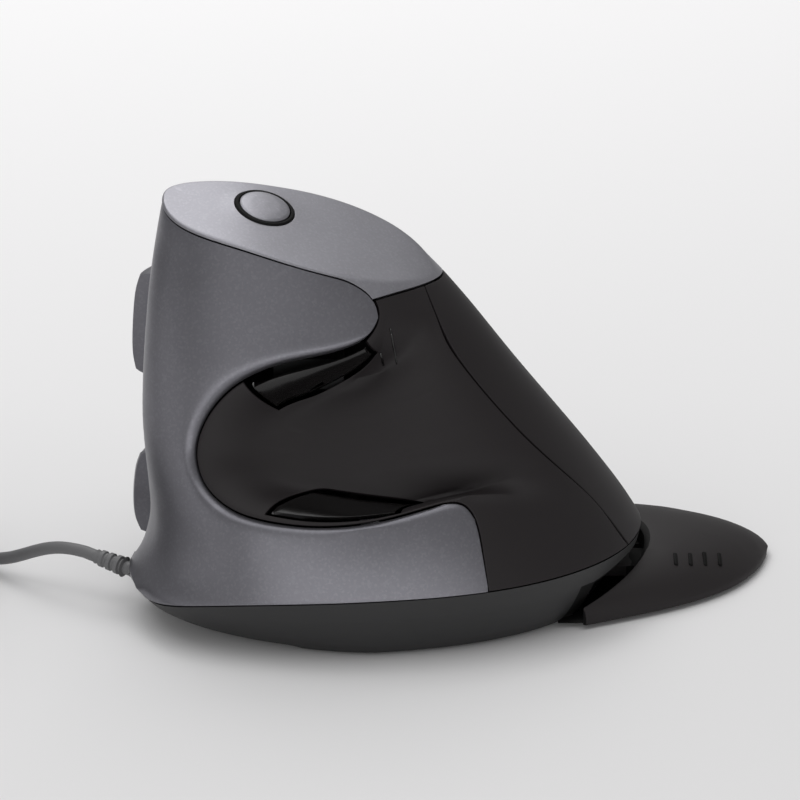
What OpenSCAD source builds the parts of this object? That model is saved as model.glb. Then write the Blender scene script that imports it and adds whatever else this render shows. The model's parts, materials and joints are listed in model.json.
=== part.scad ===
// Wired vertical ergonomic mouse for the right hand
// +X points to the finger side, +Y to the cable, +Z up; the origin is on the mat under the sensor

/* [Body] */
// Reach of the thumb side from the middle, at the base seam
left_reach = 34; // [31:0.5:37]
// Reach of the finger side from the middle, at the base seam
right_reach = 33; // [31:0.5:35]
// Reach of the nose ahead of the sensor
front_reach = 47.5; // [45:0.5:50]
// Reach of the rear slope behind the sensor, at the base seam
rear_reach = 46.5; // [44:0.5:49]
// Height of the cap over the mat, at its button
cap_height = 75; // [72:0.5:78]
// Rise of the cap across each millimetre towards the finger side
cap_lean = 0.28; // [0.2:0.02:0.36]
// Radius of the edge where the cap rolls into the walls
cap_edge = 0.5; // [0.3:0.1:0.8]
// Height of the seam between the shells and the base
seam_height = 13.4; // [12.5:0.1:14.5]
// Wall of the moulded shells
wall = 2; // [1.6:0.1:2.4]
// Gap at the seams between the shells
seam = 0.3; // [0.2:0.05:0.4]
// Sideways shift of the outline for each millimetre forward
skew = 0.12; // [0.08:0.01:0.16]

/* [Thumb bay] */
// Front end of the bay ahead of the sensor
bay_front = 37.8; // [36:0.2:39]
// Height of the lip over the upper thumb button
lip_height = 52.7; // [51.5:0.1:53.5]
// Rear end of the lip
lip_end = 3.8; // [2:0.2:6]
// Height of the ledge under the lower thumb button
ledge_height = 26; // [25:0.5:27]
// Rear corner of the ledge behind the sensor
ledge_end = 10.6; // [9:0.2:12]
// Depth of the bay under the outline
bay_depth = 7; // [5:0.5:8.5]
// How far the thumb buttons stand out of the bay
thumb_button_proud = 1.6; // [1:0.1:2.2]
// Travel of the thumb buttons
thumb_travel = 0.4; // [0.3:0.1:0.5]

/* [Finger side] */
// Height of the wheel's middle over the mat
wheel_z = 33; // [32:0.5:34]
// Place of the wheel's middle ahead of the sensor
wheel_y = 25; // [24:0.5:26]
// Radius of the wheel over its tyre
wheel_r = 10.5; // [9.5:0.25:11]
// Width of the wheel
wheel_w = 7; // [6:0.25:8]
// How far the wheel stands out of its panel
wheel_proud = 2.7; // [2:0.1:3.2]
// Travel of the wheel when it is pressed
wheel_travel = 0.5; // [0.3:0.1:0.7]
// Radius of the wheel's axle
axle_r = 1.2; // [1:0.05:1.5]
// Clearance of a turning pin in its hole
running_fit = 0.06; // [0.03:0.01:0.1]
// Radius of the hinge pins of the main buttons
pin_r = 1; // [0.8:0.05:1.2]
// How far the main buttons stand out of the body
button_proud = 1; // [0.6:0.1:1.4]
// How far the front end of the upper one stands out
button_nose = 5.2; // [4.4:0.2:5.6]
// How far the front end of the lower one stands out
lower_nose = 7.4; // [6.6:0.2:8]

/* [Cap button] */
// Place of the button across the cap
dpi_x = 5.3; // [4:0.1:6.5]
// Place of the button along the cap
dpi_y = 24.8; // [23.5:0.1:26]
// Radius of the button
dpi_r = 4.7; // [4.2:0.1:5.2]
// Width of the ring round the button
dpi_ring = 0.7; // [0.5:0.05:1]
// Travel of the button
dpi_travel = 0.5; // [0.3:0.1:0.7]

/* [Base] */
// Thickness of the glide feet under the base
foot_h = 0.8; // [0.6:0.1:1]
// How far the base draws in from the seam to the mat
base_draft = 6; // [5:0.5:7]
// Radius of the hole over the sensor lens
lens_r = 4; // [3.5:0.1:4.5]
// Radius of the screw shanks
screw_r = 1; // [0.8:0.05:1.2]
// Thickness of the circuit boards
board_t = 1.6; // [1.2:0.1:2]

/* [Palm rest] */
// Gap between the base and the palm rest
rest_gap = 1.8; // [1.4:0.1:2.4]
// Reach of the palm rest behind the sensor
rest_reach = 72; // [70:0.5:74]
// Height of the palm rest beside the base
rest_height = 9.6; // [8.5:0.1:10.5]
// Height of its outer edge
rest_edge = 1.9; // [1.6:0.1:2.4]

/* [Cable] */
// Radius of the cable
cable_r = 1.2; // [1.05:0.05:1.25]
// Spiral turns in each layer of the coil
coil_turns = 3.5; // [2.5:1:4.5]
// Step of the coil from one turn to the next
coil_step = 3.3; // [3.25:0.05:3.6]
// Step of the coil from one layer to the next
coil_rise = 3.05; // [3:0.05:3.3]

/* [Hidden] */
$fn = 48;

// Heights where the outline of the body is given
low_z = 12;
ledge_z = 25;
waist_z = 40;
lip_z = 55;
crown_z = 80;

// Outline of the body at those heights: thumb side, finger side, nose, rear and middle
left_x = [[0, -left_reach - 2], [low_z, -left_reach], [ledge_z, 4.5 - left_reach],
    [waist_z, 13 - left_reach], [lip_z, 19.5 - left_reach], [crown_z, 28.5 - left_reach]];
right_x = [[0, right_reach + 1], [low_z, right_reach], [30, right_reach - 3],
    [50, right_reach - 8.5], [65, right_reach - 14], [crown_z, right_reach - 20.5]];
front_y = [[0, front_reach - 2.4], [4, front_reach - 1.8], [16.7, front_reach - 1], [22, front_reach - 1.2],
    [30, front_reach - 0.4], [39, front_reach + 0.2], [46, front_reach], [lip_z, front_reach - 0.7],
    [65, front_reach - 1.8], [crown_z, front_reach - 4.5]];
rear_y = [[0, -rear_reach - 2.5], [low_z, -rear_reach], [25, 8.5 - rear_reach], [45, 24.5 - rear_reach],
    [60, 36.5 - rear_reach], [72, 48.5 - rear_reach], [crown_z, 60 - rear_reach]];
middle_x = [[0, 1], [waist_z, 1], [60, 3.5], [crown_z, 9]];
middle_y = [[0, 4], [low_z, 4], [waist_z, 9], [crown_z, 22]];

// Beak round the cable at the foot of the nose, which fades out on the finger side
beak = [[0, 0], [2, 0.4], [4, 1.4], [6.5, 3.7], [8.6, 4.9], [11, 3.4], [13.4, 1.6], [16.7, 0.15], [20, 0],
    [30, 0], [80, 0]];
function beak_share(angle) = let (a = (angle + 360) % 360) a > 180 ? 0 : ease((a - 76) / 14);

// Drop of the cap from front to rear
cap_roll = [[-12, -16], [-5, -11], [4, -7.4], [18, -2.8], [30, 0.4], [44, 1.8]];

// Blending helpers
function mix(a, b, s) = a + (b - a) * s;
function ease(s) = let (c = max(0, min(1, s))) c * c * (3 - 2 * c);
function unit(v) = v / norm(v);

// Smooth curve through stations [[place, value], ...]
function slope(st, k) = let (a = max(k - 1, 0), b = min(k + 1, len(st) - 1))
    (st[b][1] - st[a][1]) / (st[b][0] - st[a][0]);
function curve(st, t) = let (
        i = max(0, min(len(st) - 2, len([for (p = st) if (p[0] <= t) 1]) - 1)),
        h = st[i + 1][0] - st[i][0],
        s = (t - st[i][0]) / h,
        m0 = slope(st, i) * h,
        m1 = slope(st, i + 1) * h)
    s < 0 ? st[i][1] + m0 * s :
    s > 1 ? st[i + 1][1] + m1 * (s - 1) :
    st[i][1] * (2 * s^3 - 3 * s^2 + 1) + m0 * (s^3 - 2 * s^2 + s)
        + st[i + 1][1] * (3 * s^2 - 2 * s^3) + m1 * (s^3 - s^2);

// Outline of the body: angle 0 is the finger side, 90 the nose, 180 the thumb side, 270 the rear
finger_side_squareness = 6;
rear_squareness = 2.4;
function half_length(z, front) = front ? curve(front_y, z) - curve(middle_y, z)
                                       : curve(middle_y, z) - curve(rear_y, z);
function wall_pt(angle, z) = let (
        q = sin(angle),
        c = cos(angle),
        xc = curve(middle_x, z),
        dy = q * (half_length(z, q > 0) + beak_share(angle) * curve(beak, z)),
        reach = c > 0 ? curve(right_x, z) - xc : xc - curve(left_x, z),
        power = q > 0 && c > 0 ? finger_side_squareness : q < 0 && c < 0 ? rear_squareness : 2,
        dx = sign(c) * reach * sqrt(max(0, 1 - abs(q)^power)))
    [xc - skew * dy + dx, curve(middle_y, z) + dy, z];
function wall_normal(angle, z) =
    unit(cross(wall_pt(angle + 1, z) - wall_pt(angle - 1, z), wall_pt(angle, z + 0.5) - wall_pt(angle,
        z - 0.5)));
function skin(angle, z, out) = wall_pt(angle, z) + out * wall_normal(angle, z);

// Angle of the outline at a place y and a height z
function side_q(y, z, more = 0) = let (dy = y - curve(middle_y, z))
    max(-1, min(1, dy / (half_length(z, dy > 0) + (dy > 0 ? more : 0))));
function left_angle(y, z) = 180 - asin(side_q(y, z, curve(beak, z)));
function right_angle(y, z) = asin(side_q(y, z));

// Top surface of the cap, and the height where it meets the walls
function top_z(x, y) = cap_height + cap_lean * (x - dpi_x) + curve(cap_roll, y) - curve(cap_roll, dpi_y);
function crease_z(angle, low = 45, high = 85, steps = 14) = let (
        mid = (low + high) / 2,
        p = wall_pt(angle, mid))
    steps == 0 ? mid :
    top_z(p.x, p.y) > mid ? crease_z(angle, mid, high, steps - 1) : crease_z(angle, low, mid, steps - 1);

// Height of the base seam, which dips at the nose
seam_dip = 6.6;
seam_dip_start = -5;
function seam_line(y) = seam_height
    - seam_dip * (max(0, y - seam_dip_start) / (front_reach - seam_dip_start))^3;
function seam_z(angle, steps = 5, z = seam_height) =
    steps == 0 ? z : seam_z(angle, steps - 1, seam_line(wall_pt(angle, z).y));

// Lower edge of the cap: a short rim on the thumb side, a skirt at the rear and on the finger side
front_edge = 76;
cap_rim = cap_edge + 0.15;
cap_rear_z = cap_height - 13.3;
cap_finger_z = cap_height - 13;
function skirt_z(angle) = curve([[195, cap_rear_z], [225, cap_rear_z + 1.1], [270, cap_rear_z + 0.6], [340,
    cap_finger_z - 1.2],
    [360, cap_finger_z], [440, cap_finger_z]], angle);
// The rim turns down into the skirt round the shoulder of the thumb side shell
lip_angle = left_angle(lip_end + 1, 62);
shoulder = 10;
function turn_down(s) = 1 - sqrt(max(0, 1 - s^2));
function cap_low(angle) = let (a = (angle + 360) % 360, rim = crease_z(a) - cap_rim)
    a >= front_edge && a < lip_angle - shoulder ? rim :
    a >= front_edge && a < lip_angle ? mix(rim, skirt_z(a), turn_down(1 - (lip_angle - a) / shoulder)) :
    skirt_z(a < front_edge ? a + 360 : a);

// Edge of the thumb bay, from the rear of the lip round its front to the rear of the ledge, as [y, z]
bay_mid_z = (lip_height + ledge_height) / 2 - 3;
ledge_rear = -ledge_end;
bay_edge = [
    [lip_end + 0.8, cap_rear_z - 0.2],
    [lip_end, lip_height + 6.4],
    [lip_end + 2.2, lip_height + 3.2],
    [lip_end + 8.2, lip_height + 1.3],
    [bay_front - 18, lip_height],
    [bay_front - 12, lip_height - 1.9],
    [bay_front - 6.5, lip_height - 5.2],
    [bay_front - 2.1, bay_mid_z + 6],
    [bay_front, bay_mid_z],
    [bay_front - 1.6, bay_mid_z - 5.5],
    [bay_front - 7, ledge_height + 1.4],
    [bay_front - 15, ledge_height + 0.2],
    [(bay_front + ledge_rear) / 2, ledge_height - 0.1],
    [ledge_rear + 14.6, ledge_height + 0.6],
    [ledge_rear + 6, ledge_height + 2.1],
    [ledge_rear, ledge_height + 2.6],
    [ledge_rear - 3, ledge_height - 0.4],
    [ledge_rear - 4.2, ledge_height - 5.5],
    [ledge_rear - 5.2, seam_height + 1]];
bay_last = len(bay_edge) - 1;
bay_stations = [for (k = [0 : bay_last]) [k, bay_edge[k]]];
function bay_pt(t) = curve(bay_stations, t);
// Share of the bay's depth along its edge: none at the two rear ends
function bay_share(t) = ease((t - 1) / 2.5) * ease((bay_last - 2.5 - t) / 2.5);

// Panel made of an outer and an inner grid of points and the rim between them
function quad(a, b, c, d, crossed = false) = crossed ? [[a, b, d], [b, c, d]] : [[a, b, c], [a, c, d]];
module panel(outer, inner, ring = false, open = function (i, j) false) {
    rows = len(outer);
    cols = len(outer[0]);
    count = rows * cols;
    last = ring ? rows - 1 : rows - 2;
    mid = floor(last / 2);
    across = floor(cols / 2);
    edge_i = outer[mid + 1][across] - outer[mid][across];
    edge_j = outer[mid][across] - outer[mid][across - 1];
    turned = cross(edge_i, edge_j) * (outer[mid][across] - inner[mid][across]) < 0;
    function at(i, j, side) = side * count + ((i + rows) % rows) * cols + j;
    // Each cell is split along its shorter diagonal
    function crossed(i, j) = let (k = (i + 1) % rows)
        norm(outer[i][j] - outer[k][j + 1]) > norm(outer[i][j + 1] - outer[k][j]);
    function filled(i, j) = j >= 0 && j < cols - 1 && (ring || (i >= 0 && i <= last)) && !open((i
        + rows) % rows, j);
    faces = [for (i = [0 : last], j = [0 : cols - 2]) if (filled(i, j)) each concat(
        quad(at(i, j, 0), at(i, j + 1, 0), at(i + 1, j + 1, 0), at(i + 1, j, 0), crossed(i, j)),
        quad(at(i, j, 1), at(i + 1, j, 1), at(i + 1, j + 1, 1), at(i, j + 1, 1), crossed(i, j)),
        filled(i - 1, j) ? [] : quad(at(i, j + 1, 0), at(i, j, 0), at(i, j, 1), at(i, j + 1, 1)),
        filled(i + 1, j) ? [] : quad(at(i + 1, j, 0), at(i + 1, j + 1, 0), at(i + 1, j + 1, 1), at(i + 1,
            j, 1)),
        filled(i, j - 1) ? [] : quad(at(i, j, 0), at(i + 1, j, 0), at(i + 1, j, 1), at(i, j, 1)),
        filled(i, j + 1) ? [] : quad(at(i + 1, j + 1, 0), at(i, j + 1, 0), at(i, j + 1, 1), at(i + 1, j
            + 1, 1)))];
    polyhedron([each each outer, each each inner], [for (f = faces) turned ? [f[2], f[1], f[0]] : f]);
}

// Thumb side shell: a C-shaped strip from the edge of the bay to the cap, the nose and the base
bay_steps = [each [0 : 0.5 : 5], each [5.25 : 0.25 : 10.75], each [11 : 0.5 : bay_last]];
edge_roll = 1.4;
cap_reach = [[0, left_angle(lip_end + 1.4, 62)], [2, lip_angle - 8.4], [3, 188], [4, 175], [5, 157], [6,
    128],
    [7, front_edge + 0.5]];
seam_reach = [[9, front_edge + 0.5], [9.25, 80], [9.75, 93], [10, 105], [11, 138], [12, 161], [13, 176],
    [14, 186], [16, 196],
    [18, left_angle(ledge_rear - 5.2, seam_height)]];
function shell_end(t) =
    t <= 7 ? let (a = curve(cap_reach, t)) [a, cap_low(a + 0.5 * ease(3 - t)) - seam] :
    t >= 9 ? let (a = curve(seam_reach, t)) [a, seam_z(a)] :
    [front_edge + 0.5, mix(cap_low(front_edge + 0.5) - seam, seam_z(front_edge + 0.5), (t - 7) / 2)];
// Place on the shell in a column, at a distance back from its far edge
function shell_at(t, back) = let (
        e = bay_pt(t),
        from = [left_angle(e[0], e[1]), e[1]],
        to = shell_end(t),
        long = norm(wall_pt(from[0], from[1]) - wall_pt(to[0], to[1])))
    mix(to, from, back * min(1, long / 30) / long);
function shell_row(t) = let (
        e = bay_pt(t),
        to = shell_end(t),
        long = norm(wall_pt(left_angle(e[0], e[1]), e[1]) - wall_pt(to[0], to[1])),
        full = max(30, long))
    [for (back = [full, full - 0.6, each [for (s = [0 : 0.2 : 1]) mix(full - 1.8, 10, s)], 5, 2.5, 0])
        shell_at(t, back)];
shell_rows = [for (t = bay_steps) shell_row(t)];
shell_cols = len(shell_rows[0]);
function shell_roll(t, j) = -(j == 0 ? edge_roll : j == 1 ? edge_roll / 3 : 0) * mix(0.25, 1, bay_share(t));
// The wall is thinner where the beak and the corner of the nose turn sharply
function corner_share(angle) = 1 - 0.6 * ease(1 - abs(angle - 70) / 22);
function shell_wall(angle, z) = wall * corner_share(angle) * (1 - 0.09 * beak_share(angle) * max(0,
    curve(beak, z)));
module left_shell() color([0.27, 0.27, 0.29]) {
    outer = [for (i = [0 : len(shell_rows) - 1]) [for (j = [0 : len(shell_rows[i]) - 1])
        let (p = shell_rows[i][j]) skin(p[0], p[1], shell_roll(bay_steps[i], j))]];
    inner = [for (row = shell_rows) [for (p = row) skin(p[0], p[1], -shell_wall(p[0], p[1]))]];
    panel(outer, inner, open = function (i, j) bay_steps[i] >= 9.25 && bay_steps[i] < 9.75 && j >=
        shell_cols - 3);
}

// Cap over the top
shoulder_steps = [10, 7.5, 5, 3, 1.6, 0.6, 0];
cap_angles = [each [0 : 7.5 : 67.5], front_edge - 2.6, front_edge, each [82.5 : 7.5 : 180], 185, 191,
    each [for (s = shoulder_steps) lip_angle - s], 212, 218, 225, each [232.5 : 7.5 : 352.5]];
dpi_top = [dpi_x, dpi_y, top_z(dpi_x, dpi_y)];
dpi_axis = unit([top_z(dpi_x - 1, dpi_y) - top_z(dpi_x + 1, dpi_y), top_z(dpi_x, dpi_y - 1) - top_z(dpi_x,
    dpi_y + 1), 2]);
dpi_hole = dpi_r + dpi_ring + 0.35;
dpi_across = unit(cross([0, 1, 0], dpi_axis));
dpi_along = cross(dpi_axis, dpi_across);
cap_t = 1.6;
function on_top(p, drop) = [p.x, p.y, top_z(p.x, p.y) - drop];
function cap_column(angle, inside) = let (
        crease = crease_z(angle),
        top = wall_pt(angle, crease),
        away = unit([top.x - dpi_x, top.y - dpi_y, 0]),
        turn = atan2(away * dpi_along, away * dpi_across),
        hole = dpi_top + dpi_hole * (cos(turn) * dpi_across + sin(turn) * dpi_along),
        under = hole - cap_t * dpi_axis,
        low = cap_low(angle),
        side = unit([wall_normal(angle, crease).x, wall_normal(angle, crease).y, 0]),
        room = norm([top.x - hole.x, top.y - hole.y]),
        thick = min(wall * corner_share(angle), 0.42 * room),
        near = top - min(wall + 0.6, 0.62 * room) * side,
        shoulder = top - cap_edge * side,
        down = wall_pt(angle, crease - cap_edge),
        foot = wall_pt(angle, low),
        in_top = skin(angle, max(crease - cap_t * 0.6, low + 0.15), -thick),
        in_foot = skin(angle, low, -thick) - [0, 0, 0.02])
    inside ? concat(
        [under],
        [for (s = [0.25, 0.5, 0.75, 1]) on_top(mix(under, near, s), cap_t)],
        [mix(on_top(near, cap_t), in_top, 0.6), in_top],
        [for (s = [0.25, 0.5, 0.75, 1]) mix(in_top, in_foot, s)]) :
    concat(
        [hole],
        [for (s = [0.25, 0.5, 0.75, 1]) on_top(mix(hole, near, s), 0)],
        [for (s = [0, 0.35, 0.7, 1]) let (a = on_top(shoulder, 0)) mix(mix(a, top, s), mix(top, down, s),
            s)],
        [for (s = [0.5, 1]) mix(down, foot, s)]);
module top_cover() color([0.33, 0.33, 0.35]) {
    panel([for (a = cap_angles) cap_column(a, false)], [for (a = cap_angles) cap_column(a, true)], ring =
        true);
}

// Rear seam of the thumb panel, as y at each height
palm_seam = [[14, -42.2], [23, -35.8], [37.5, -21.5], [51, -10.2], [57, -7.4], [63, -4.8]];
panel_high = cap_rear_z - 0.3;
function palm_edge(s) = let (
        z0 = mix(panel_high, seam_height, s),
        a = left_angle(curve(palm_seam, z0), z0))
    [a, mix(cap_low(a) - seam, seam_z(a) , s)];

// Thumb panel: the recessed dark wall behind the bay's edge
panel_lead = [[0, 34], [10.5, 34], [12, 25], [13, 17], [14, 10.5], [15, 8], [16, 11], [17, 17], [18, 24]];
// Where each row of the panel ends on its rear seam
row_end = [[0, 0], [4, 0.222], [8, 0.444], [10, 0.515], [12, 0.58], [13, 0.615], [14, 0.66], [15, 0.74],
    [16, 0.84],
    [17, 0.93], [18, 1]];
function bay_inward(t) = let (d = bay_pt(t + 0.05) - bay_pt(t - 0.05)) unit([-d[1], d[0]]) * -1;
function free_domain(t, b) = let (
        from = bay_pt(t) + seam * bay_inward(t),
        last = palm_edge(curve(row_end, t)),
        end = wall_pt(last[0] - 0.6, last[1]),
        to = [end.y, end.z],
        lead = min(curve(panel_lead, t), 1.2 * norm(to - from)))
    from * (2 * b^3 - 3 * b^2 + 1) + lead * bay_inward(t) * (b^3 - 2 * b^2 + b)
        + to * (3 * b^2 - 2 * b^3) + [-1, 0.3] * lead * 0.4 * (b^3 - b^2);
// The first row follows the cap and the last row follows the base
function panel_domain(t, b) = let (
        p = free_domain(t, b),
        top = free_domain(0, b),
        low = free_domain(bay_last, b),
        lift = t < 2 ? cap_low(left_angle(top[0], top[1])) - seam - top[1] : 0,
        drop = t > bay_last - 2.5 ? seam_height - low[1] : 0)
    p + [0, lift * (1 - ease(t / 2)) + drop * ease((t - bay_last + 2.5) / 2.5)];
function panel_depth(t, b) = mix(0.25, 1.5, bay_share(t)) * (1 - ease((b - 0.5) / 0.5))
    + bay_depth * bay_share(t) * ease(b / 0.3) * (1 - ease((b - 0.35) / 0.65));
function panel_skin(t, b, out) = let (p = panel_domain(t, b))
    skin(left_angle(p[0], p[1]), p[1], out - panel_depth(t, b));
// Rows of the panel: its edge, the band that holds the buttons, and the rest
panel_wall = 1.4;
band_low = 0.03;
band_high = [[0, 0.19], [1.5, 0.2], [2, 0.24], [2.5, 0.3], [3, 0.28], [4, 0.24], [5.5, 0.2], [6.5, 0.2],
    [9, 0.24], [10.5, 0.3], [11.5, 0.35], [12.6, 0.38], [13.4, 0.34], [14, 0.25], [18, 0.2]];
function panel_row(t) = let (high = curve(band_high, t)) [0, each [for (k = [0 : 4]) mix(band_low, high,
    k / 4)],
    each [for (k = [1 : 7]) mix(high, 1, (k / 7)^1.2)]];
upper_span = [2, 5.5];
lower_span = [10.75, 13.5];
function within(t, span) = t >= span[0] && t < span[1];
module thumb_panel() color([0.11, 0.1, 0.1]) {
    grid = function (out) [for (t = bay_steps) [for (b = panel_row(t)) panel_skin(t, b, out)]];
    panel(grid(0), grid(-panel_wall), open = function (i, j)
        j <= 4 && (within(bay_steps[i], upper_span) || (j >= 1 && within(bay_steps[i], lower_span))));
}

// Thumb buttons: crowned caps in the band, each with a stem to its switch
function edge_share(s) = sqrt(max(0, 1 - abs(2 * s - 1)^5));
button_inset = 0.13;
// Gaps beside the outer edge and beside the inner edge, which the button moves towards
outer_gap = 0.4;
inner_gap = 1.0;
// Share of the panel's row that a gap takes, square to the edge
function gap_share(t, b, gap) = let (
        across = (panel_skin(t, b + 0.01, 0) - panel_skin(t, b - 0.01, 0)) / 0.02,
        along = unit(panel_skin(t + 0.1, edge_b(t + 0.1, b, t), 0) - panel_skin(t - 0.1, edge_b(t - 0.1, b,
            t), 0)))
    gap / norm(across - (across * along) * along);
// The same edge at a nearby column
function edge_b(t, b, t0) = b > 0.1 ? b + curve(band_high, t) - curve(band_high, t0) : b;
function button_columns(span) = [span[0] + button_inset, span[0] + 0.2,
    each [for (t = bay_steps) if (t > span[0] + 0.24 && t < span[1] - 0.24) t], span[1] - 0.2,
        span[1] - button_inset];
button_v = [0, 0.08, 0.25, 0.5, 0.75, 0.92, 1];
function button_pt(t, v, out) =
    let (low = band_low, high = curve(band_high, t))
    panel_skin(t, mix(low + gap_share(t, low, outer_gap), high - gap_share(t, high, inner_gap), v), out);
function crown(span, t) = edge_share((t - span[0] - button_inset) / (span[1] - span[0] - 2 * button_inset));
module thumb_button(span, stem, drop = 0) {
    panel([for (t = button_columns(span)) [for (v = button_v)
            button_pt(t, v, thumb_button_proud * crown(span, t) * edge_share(v))]],
        [for (t = button_columns(span)) [for (v = button_v) button_pt(t, v, -wall)]]);
    translate([stem.x - stem_w, stem.y - 1.5, stem.z - drop - 1])
        cube([thumb_plunger_x - stem.x + stem_w, 3, 2]);
    translate([stem.x - stem_w, stem.y - 1.5, stem.z - drop - 1]) cube([stem_w, 3, drop + 1.8]);
}
stem_w = 1.6;
lower_drop = 1.9;
upper_stem = button_pt((upper_span[0] + upper_span[1]) / 2, 0.5, -wall);
lower_stem = button_pt(mix(lower_span[0], lower_span[1], 0.56), 0.5, -wall);
module forward_button() color([0.05, 0.05, 0.055]) thumb_button(upper_span, upper_stem);
module back_button() color([0.05, 0.05, 0.055]) thumb_button(lower_span, lower_stem, lower_drop);

// Palm cover: round the rear from the thumb panel to the main buttons
button_rear = 3;
cover_cols = 16;
cover_rows = 10;
function cover_pt(s, t, out) = let (
        e = palm_edge(s),
        z1 = mix(cap_finger_z - 1, seam_height, s),
        a = mix(e[0], 360 + right_angle(button_rear - seam, z1), t),
        z = mix(cap_low(a) - seam, seam_z(a), s))
    skin(a, z, out);
module palm_cover() color([0.12, 0.11, 0.11]) {
    grid = function (out) [for (i = [0 : cover_cols]) [for (j = [0 : cover_rows]) cover_pt(j / cover_rows,
        i / cover_cols, out)]];
    panel(grid(0), grid(-wall));
}

// Finger side: the strip with the wheel between the two main buttons
strip_low = 26.4;
strip_high = 41;
button_gap = 0.45;
slot_long = 2 * sqrt(wheel_r^2 - (wheel_r - wheel_proud - wall)^2) + 5;
slot_wide = wheel_w + 1.6;
function strip_row(z) = let (
        back = right_angle(button_rear, z),
        slot_back = right_angle(wheel_y - slot_long / 2, z),
        slot_front = right_angle(wheel_y + slot_long / 2, z),
        front = front_edge - 0.5)
    [back, mix(back, slot_back, 0.5), each [for (k = [0 : 6]) mix(slot_back, slot_front, k / 6)],
        each [for (k = [1 : 7]) mix(slot_front, front, k / 7)]];
strip_z = [strip_low, mix(strip_low, wheel_z - slot_wide / 2, 0.5), wheel_z - slot_wide / 2, wheel_z,
    wheel_z + slot_wide / 2, mix(strip_high, wheel_z + slot_wide / 2, 0.5), strip_high];
module wheel_panel() color([0.27, 0.27, 0.29]) {
    grid = function (out) [for (i = [0 : 15]) [for (z = strip_z) skin(strip_row(z)[i], z, out)]];
    panel(grid(0), grid(-wall), open = function (i, j) i >= 2 && i < 8 && (j == 2 || j == 3));
}

// Frame of the finger face: out of the face, forward, and up along it, from the wheel's place
wheel_face = wall_pt(right_angle(wheel_y, wheel_z), wheel_z);
function face_x(z) = wall_pt(right_angle(wheel_y, z), z).x;
face_tilt = atan2(face_x(wheel_z - 9) - face_x(wheel_z + 9), 18);
face_out = [cos(face_tilt), 0, sin(face_tilt)];
face_up = [-sin(face_tilt), 0, cos(face_tilt)];
module on_face() translate(wheel_face) rotate([0, -face_tilt, 0]) children();
function face_height(y, z) = (wall_pt(right_angle(y, z), z) - wheel_face) * face_up;
// How far out the body's skin lies at a place on the face
function plate_out(y, up, steps = 4, out = 0) = steps == 0 ? out : let (
        z = wheel_z + up * cos(face_tilt) + out * sin(face_tilt))
    plate_out(y, up, steps - 1, (wall_pt(right_angle(y, z), z) - wheel_face) * face_out);

// Main buttons: plates with crowned edges and a blunt front end, hinged at the rear
hinge_y = button_rear + 5;
hinge_depth = 8;
arm_w = 2.4;
arm_half = 1.7;
left_up = face_height(hinge_y, (strip_high + cap_finger_z) / 2);
right_up = face_height(hinge_y, (seam_height + strip_low) / 2);
left_arm = 6;
right_arm = 2.6;
hinge_out = plate_out(hinge_y, left_up) - hinge_depth;
click_y = 28;
ear_gap = 0.3;
ear_t = 2;
button_i = [0, 0.02, 0.08, 0.2, 0.32, 0.44, 0.56, 0.66, 0.76, 0.84, 0.91, 0.96, 0.985, 1];
button_j = [0, 0.05, 0.18, 0.35, 0.5, 0.65, 0.82, 0.95, 1];
function plate_pt(low, high, nose, u, v, inside) = let (
        back = right_angle(button_rear + button_gap, mix(low(0), high(0), v)),
        a = mix(back, front_edge - 1.4, u),
        z = mix(low(a), high(a), v),
        rim = mix(u < 0.5 ? 0.45 : 0.78, 1, edge_share(u)) * mix(0.45, 1, edge_share(v)),
        out = (button_proud + (nose(v) - button_proud) * ease((a - 38) / 26)) * rim)
    skin(a, z, inside ? -wall : out);
module click_button(low, high, nose, up, arm) {
    panel([for (u = button_i) [for (v = button_j) plate_pt(low, high, nose, u, v, false)]],
        [for (u = button_i) [for (v = button_j) plate_pt(low, high, nose, u, v, true)]]);
    on_face() {
        for (side = [-1, 1]) {
            reach = plate_out(hinge_y, up + side * arm) - wall / 2 - hinge_out;
            translate([hinge_out - arm_half, hinge_y - wheel_y - arm_half, up + side * arm - arm_w / 2])
                cube([reach + arm_half, 2 * arm_half, arm_w]);
            translate([hinge_out, hinge_y - wheel_y, up + side * arm])
                rotate([side > 0 ? 0 : 180, 0, 0]) cylinder(r = pin_r, h = arm_w / 2 + ear_gap + ear_t);
        }
        press = plate_out(click_y, up) - wall / 2 - click_top;
        translate([click_top, click_y - wheel_y - 1, up - 1.5]) cube([press, 2, 3]);
    }
}
module left_click_button() color([0.27, 0.27, 0.29])
    click_button(function (a) strip_high + button_gap, function (a) cap_low(a) - button_gap,
        function (v) button_nose, left_up, left_arm);
module right_click_button() color([0.27, 0.27, 0.29])
    click_button(function (a) seam_z(a) + button_gap, function (a) strip_low - button_gap,
        function (v) mix(lower_nose + 0.8, lower_nose - 0.8, v), right_up, right_arm);

// Switches: a moulded block with a hole for its plunger, standing along +Z
switch_h = 6.5;
switch_l = 12.8;
switch_w = 5.8;
plunger_r = 0.9;
plunger_up = 0.7;
plunger_in = 2.2;
module switch_block(long, wide, high) {
    difference() {
        translate([-wide / 2, -long / 2, 0]) cube([wide, long, high]);
        translate([0, 0, high - plunger_in - 0.8]) cylinder(r = plunger_r + 0.1, h = plunger_in + 2);
    }
}
module plunger(high, in = plunger_in) translate([0, 0, high - in]) cylinder(r = plunger_r, h = in
    + plunger_up);

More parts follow.
